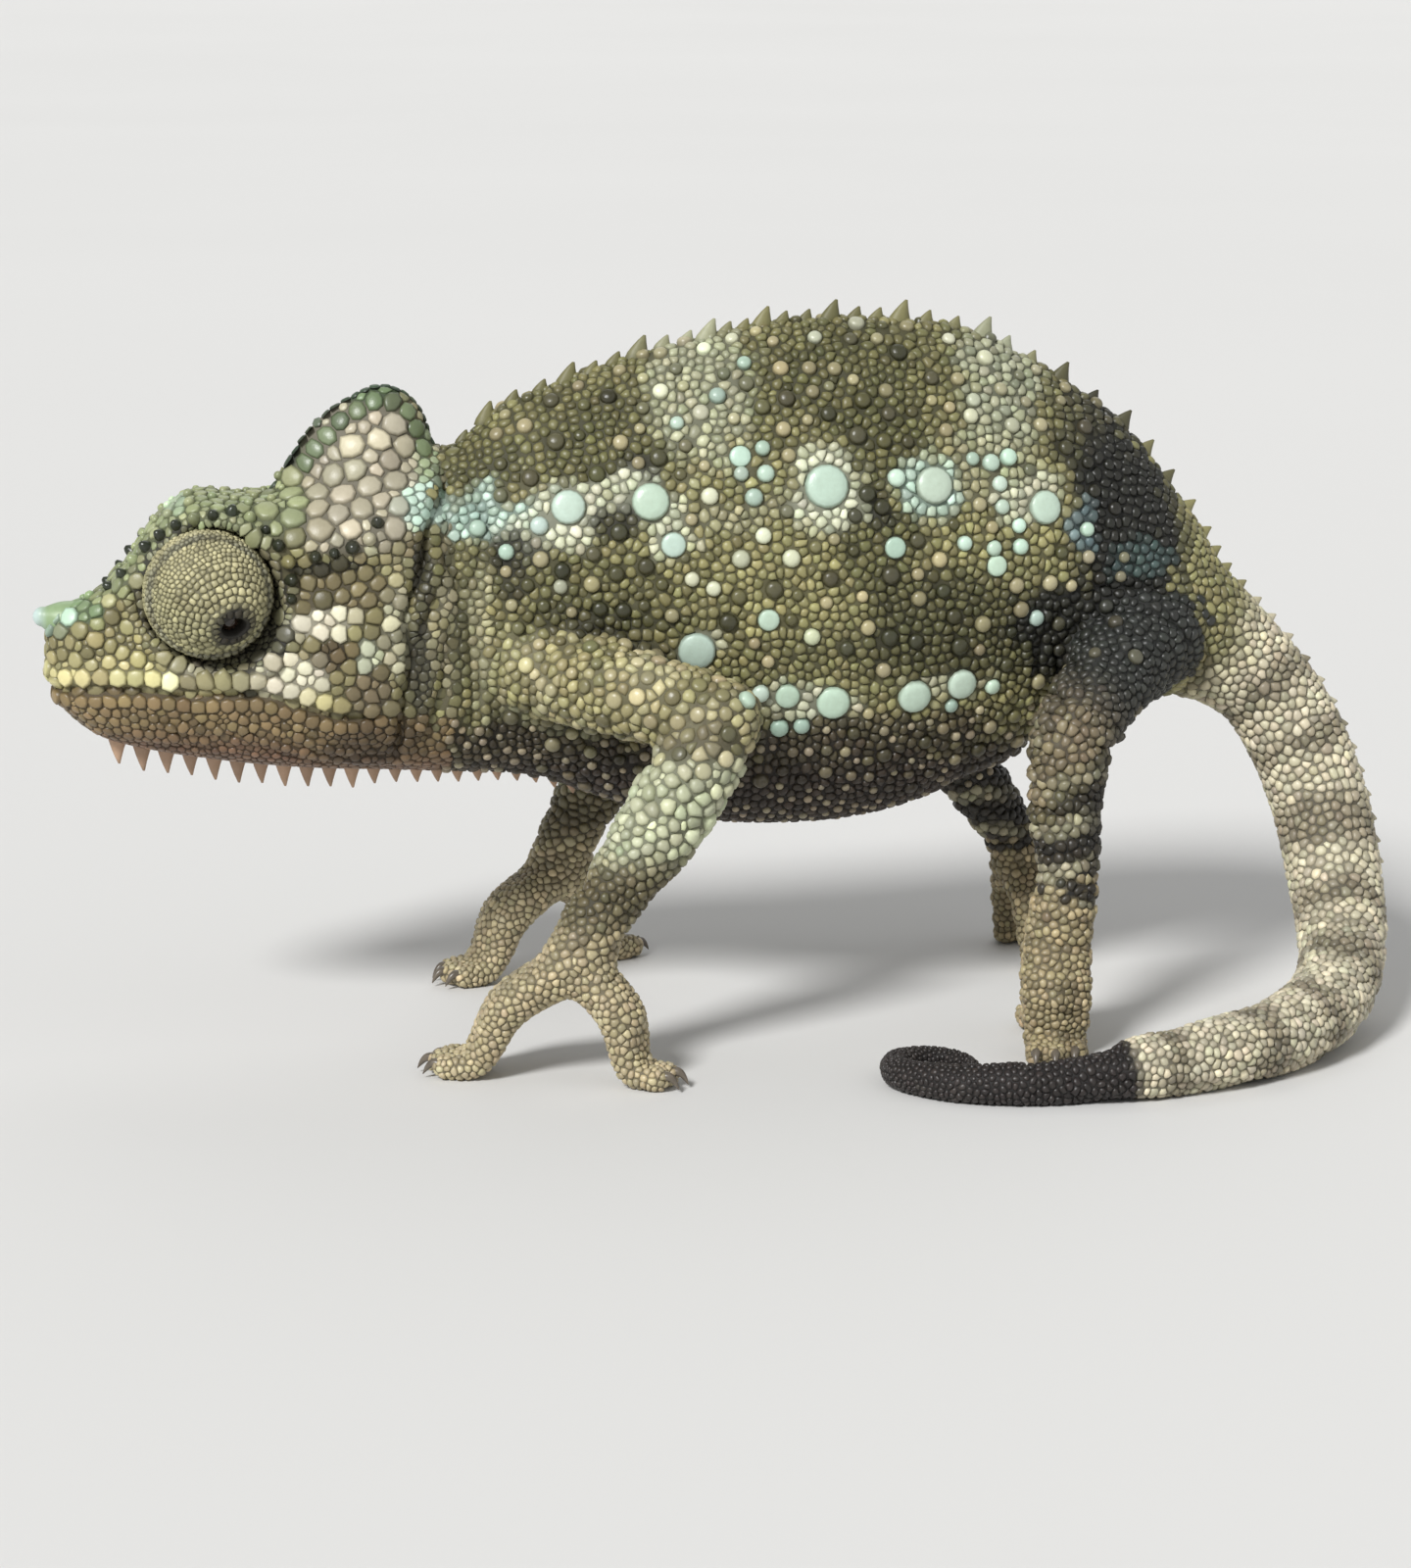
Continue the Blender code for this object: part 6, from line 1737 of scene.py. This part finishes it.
def lid_profile():
    """The lid's outline from the socket into the opening, as (along the gaze, radius)."""
    turns = np.linspace(LID_STARTS, LID_ENDS, 90)
    furrow = 0.035 * np.cos((math.pi / 2 - turns) * LID_RADIUS * 2 * math.pi / RING_STEP)
    reach = LID_RADIUS + furrow + 0.08 * bump(math.pi / 2 - turns - 0.34, 0.09)
    outline = [(r * math.sin(t), r * math.cos(t)) for t, r in zip(turns, reach)]
    rim = outline[-1][0]
    return outline + [(rim + ahead, APERTURE - less)
                      for ahead, less in ((0.06, 0.08), (-0.05, 0.2), (-0.6, 0.24), (-2.0, 0.2))]


def lid_rings(centre, gaze, across, over):
    """Places in rings round the gaze, from the opening to the socket, and a granule's radius for each."""
    spots, radii, turn = [], [], APERTURE / LID_RADIUS + 0.07
    while turn < math.pi / 2 - LID_STARTS - 0.06:
        width = RING_STEP * np.interp(turn, *RING_WIDTHS)
        count = int(2 * math.pi * LID_RADIUS * math.sin(turn) / (width * 1.05))
        circle = 2 * math.pi * (np.arange(count) + RNG.random()) / count
        circle += RNG.normal(scale=0.16 * width / LID_RADIUS / math.sin(turn), size=count)
        away = (turn + RNG.normal(scale=0.16 * width / LID_RADIUS, size=count))[:, None]
        spots.append(centre + LID_RADIUS * (np.cos(away) * gaze + np.sin(away) * (
            np.cos(circle)[:, None] * across + np.sin(circle)[:, None] * over)))
        radii.append(np.full(count, width * 0.56))
        turn += width / LID_RADIUS
    return np.vstack(spots), np.concatenate(radii)

# %% Make both turrets
def eye_turret(side, word):
    """One lid and the granules on it."""
    centre, gaze = mirrored(side, EYE_CENTRE, EYE_GAZE)
    across = -side * unit(np.cross(gaze, (0.0, 0.0, 1.0)))
    over = -side * np.cross(across, gaze)

    def socket_angle(spots):
        return np.arccos(np.clip(unit(spots - centre)[:, 1] * side, -1, 1))

    def opened(spots):
        """Stretches the opening into an oval, and wrinkles the lid a little."""
        offset, from_socket = spots - centre, socket_angle(spots)
        side_on, up_on = offset @ across, offset @ over
        near = (offset @ gaze > 0) * OVAL * bump(np.hypot(side_on, up_on), 1.35)
        wrinkle = 0.08 * ripple(spots * (0.45, 1, 1.5), 0.7, 90.0) * step(1.1, 2.0, np.hypot(side_on, up_on))
        wrinkle += 0.05 * bump(from_socket - 1.28, 0.07) - 0.14 * bump(from_socket - 1.14, 0.05)
        return spots + (side_on * near)[:, None] * across + unit(offset) * wrinkle[:, None]

    def lid_tints(spots):
        offset = spots - centre
        turn = np.arctan2(np.linalg.norm(np.cross(offset, gaze), axis=1), offset @ gaze)
        about = np.arctan2(offset @ over, offset @ across)
        return lid_colour(turn, about, socket_angle(spots), ripple(spots, 1.4, 70.0))

    lid_points, lid_faces = loft(turned_rings(lid_profile(), centre, gaze, 80))
    lid = mesh_object(f"{word}_eye_lid", opened(lid_points), lid_faces)
    lid.data.materials.append(lid_finish)
    # The lid's bare skin is darkened to about a third, as painted shade between its granules.
    painted(lid.data, lid_tints(corners(lid.data)) * 0.35)

    spots, radii = lid_rings(centre, gaze, across, over)
    spots = opened(spots)
    radii = radii * RNG.uniform(0.78, 1.18, len(spots))
    shown = socket_angle(spots) < 1.75
    spots, radii = spots[shown], radii[shown]
    outs, runs = unit(spots - centre), np.cross(spots - centre, gaze)
    roots = np.column_stack([0.75 + 0.05 * side + runs[:, [0, 2]] * UV_PER_MM * 2])
    roots[:, 1] = 0.30 + roots[:, 1] - roots[:, 1].mean()
    colours = lid_tints(spots) * np.exp(RNG.normal(scale=0.18, size=(len(spots), 1)))
    granules = planted(f"{word}_eye_granules", SHAPES["granule"], scale_finish, spots, outs, runs,
                       np.column_stack([radii, radii, radii * 0.62]), roots, colours, 0.25)
    fitted(granules, field_of(spots, outs, radii), np.arange(len(spots)), SPOKES)
    print(word, "turret:", triangles_in(lid), "triangles,", len(spots), "granules")
    return lid, granules


eye_pieces = {}
for side, word in SIDES:
    eye_pieces[f"{word}_lid"], eye_pieces[f"{word}_granules"] = eye_turret(side, word)

# %% The eyes inside
BALL_AHEAD, BALL_RADIUS = 2.75, 0.72  # how far along the gaze the dark ball's middle lies
eye_finish, inputs = plain_finish(
    "wet dark eye", (0.006, 0.004, 0.003), (0.030, 0.014, 0.008), 0.06, (1500.0, 2.0))
inputs["Coat Weight"].default_value = 0.4
ball = [(BALL_AHEAD + BALL_RADIUS * math.sin(turn), BALL_RADIUS * math.cos(turn))
        for turn in np.linspace(-1.45, 1.5, 16)]
for side, word in SIDES:
    centre, gaze = mirrored(side, EYE_CENTRE, EYE_GAZE)
    eyeball = mesh_object(f"{word}_eyeball", *loft(turned_rings(ball, centre, gaze, 32)))
    eyeball.data.materials.append(eye_finish)
    eye_pieces[f"{word}_eyeball"] = eyeball
print("eyes set", round(EYE_RADIUS - BALL_AHEAD - BALL_RADIUS, 2), "mm inside the lids")

# %% [markdown]
# The blunt horn on the snout is one smooth green scale with a pale tip. Each toe ends in a small curved claw,
# which meets the floor with its tip.

# %% Horn and claws
HORN_RADII = (1.38, 1.08, 0.62)
HORN_END = HORN_TIP + (0.22, 0, -0.08)
CLAW_RADIUS, CLAW_REACH = 0.34, 1.0
horn_middles = (HORN_BASE, 0.5 * HORN_BASE + 0.5 * HORN_TIP, HORN_END)
horn_line = [(*middle, radius) for middle, radius in zip(horn_middles, HORN_RADII)]
nose_horn = mesh_object("nose_horn", *loft(limb_rings(horn_line, 22, 32, ends=7)))
horn_x = corners(nose_horn.data)[:, 0]
horn_green = np.tile(srgb(146, 170, 128), (len(horn_x), 1))
painted(nose_horn.data, blended(horn_green, step(-40.9, -41.8, horn_x), srgb(196, 216, 212)))
nose_horn.data.materials.append(horn_finish)


def claw_line(bundle, toe):
    """A claw's middle line and radii. It leaves the toe near its tip and curves down to the floor."""
    line, out = toe_line(bundle, toe)
    end = np.array(line[-1][:3]) + out * (TOE_TIP_RADIUS - 0.45) + (0, 0, 0.18)
    return [(*(end + out * CLAW_REACH * s + (0, 0, 0.16 * math.sin(math.pi * s) - 0.62 * s * s)),
             CLAW_RADIUS * (1 - s) ** 0.7 + 0.035) for s in np.linspace(0, 1, 6)]


claw_finish, _ = plain_finish("claws", (0.05, 0.04, 0.03), (0.20, 0.17, 0.13), 0.32, (1800.0, 3.0))
claw_rings = [limb_rings(claw_line(bundle, toe), 9, 10, ends=2)
              for bundle, (_, _, count, _) in TOES.items() for toe in range(count)]
claws = mesh_object("claws", *joined_lofts(claw_rings, 0.02))
claws.data.materials.append(claw_finish)
print("claws:", len(claw_rings), "with", triangles_in(claws), "triangles")

# %% [markdown]
# The CAD model's nodes of flesh give way to the one skin, and every piece follows the model's one body.

# %% Tie the pieces to the frame
for shape in set(SHAPES.values()):
    bpy.data.objects.remove(shape)
LIMB_NODES = ("upper_arm", "forearm", "forefoot", "thigh", "shin", "hindfoot",
              "fore_inner_toes", "fore_outer_toes", "hind_inner_toes", "hind_outer_toes")
NODES = [f"{word}_{name}" for _, word in SIDES for name in LIMB_NODES]
NODES += ["head", "casque", "lower_jaw", "neck", "torso", "tail_base", "tail_bend", "tail_middle", "tail_end",
          "tail_tip", "tail_coil"]
everything = [skin, dorsal_crest, throat_crest, nose_horn, claws, *coat_pieces, *eye_pieces.values()]
for piece in everything:
    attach(piece, "root")
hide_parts(*NODES)
for _, word in SIDES:
    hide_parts(f"{word}_eye_turret")
    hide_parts(f"{word}_eye")
print(len(everything), "pieces,", sum(triangles_in(p) for p in everything), "triangles")

# %% [markdown]
# A plain pale floor, which rises gently far off so that no horizon shows, and large soft lights. The camera
# has the photograph's viewing angle: ten degrees round towards the head and twelve above the level.

# %% The floor
FLOOR_PROFILE = ((0, 0), (1500, 0), (3000, 40), (6000, 260), (20000, 1800), (60000, 7000))  # radius, height
FLOOR_SIDES = 96
# Each light: where it stands, how soft it is and its strength
LIGHTS = {"key": ((-0.75, -0.85, 0.95), 0.26, 3.3), "fill": ((0.9, -0.6, 0.5), 1.2, 0.35),
          "back": ((0.3, 0.9, 0.8), 0.9, 0.6)}
SKY, SKY_STRENGTH = (0.86, 0.87, 0.88, 1.0), 0.36
AZIMUTH, ELEVATION, DISTANCE, LOOK_HEIGHT = math.radians(-10), math.radians(12), 0.250, 0.015
LENS, SENSOR = 90, 36

turn = np.linspace(0, 2 * math.pi, FLOOR_SIDES, endpoint=False)
circle = np.column_stack([np.cos(turn), np.sin(turn), np.zeros(FLOOR_SIDES)])
floor_rings = np.array([circle * radius + (0, 0, height) for radius, height in FLOOR_PROFILE])
floor = mesh_object("studio_floor", *loft(floor_rings, close=False))
floor_finish, _ = plain_finish("pale floor", (0.66, 0.655, 0.64), (0.70, 0.695, 0.68), 0.85, (3.0, 3.0))
floor.data.materials.append(floor_finish)
print("floor", 2 * FLOOR_PROFILE[-1][0] * METRES, "m across")

# %% The lights
for name, (place, softness, strength) in LIGHTS.items():
    data = bpy.data.lights.new(name, "SUN")
    data.angle = softness
    data.energy = strength
    placed(name, data).rotation_euler = Vector(place).to_track_quat("Z", "Y").to_euler()
world = bpy.data.worlds.new("studio")
world.use_nodes = True
sky = world.node_tree.nodes["Background"].inputs
sky["Color"].default_value = SKY
sky["Strength"].default_value = SKY_STRENGTH
bpy.context.scene.world = world
bpy.context.scene.view_settings.view_transform = "Standard"
print(len(LIGHTS), "lights")

# %% The camera
level = math.cos(ELEVATION)
back = Vector((math.sin(AZIMUTH) * level, -math.cos(AZIMUTH) * level, math.sin(ELEVATION)))
camera_data = bpy.data.cameras.new("camera")
camera_data.lens = LENS
camera_data.sensor_width = SENSOR
camera_data.clip_start = 0.01
camera = placed("camera", camera_data)
camera.location = Vector((BODY_SHIFT[0] * METRES, BODY_SHIFT[1] * METRES, LOOK_HEIGHT)) + back * DISTANCE
camera.rotation_euler = back.to_track_quat("Z", "Y").to_euler()
bpy.context.scene.camera = camera
print("camera at", [round(v, 3) for v in camera.location], "m")
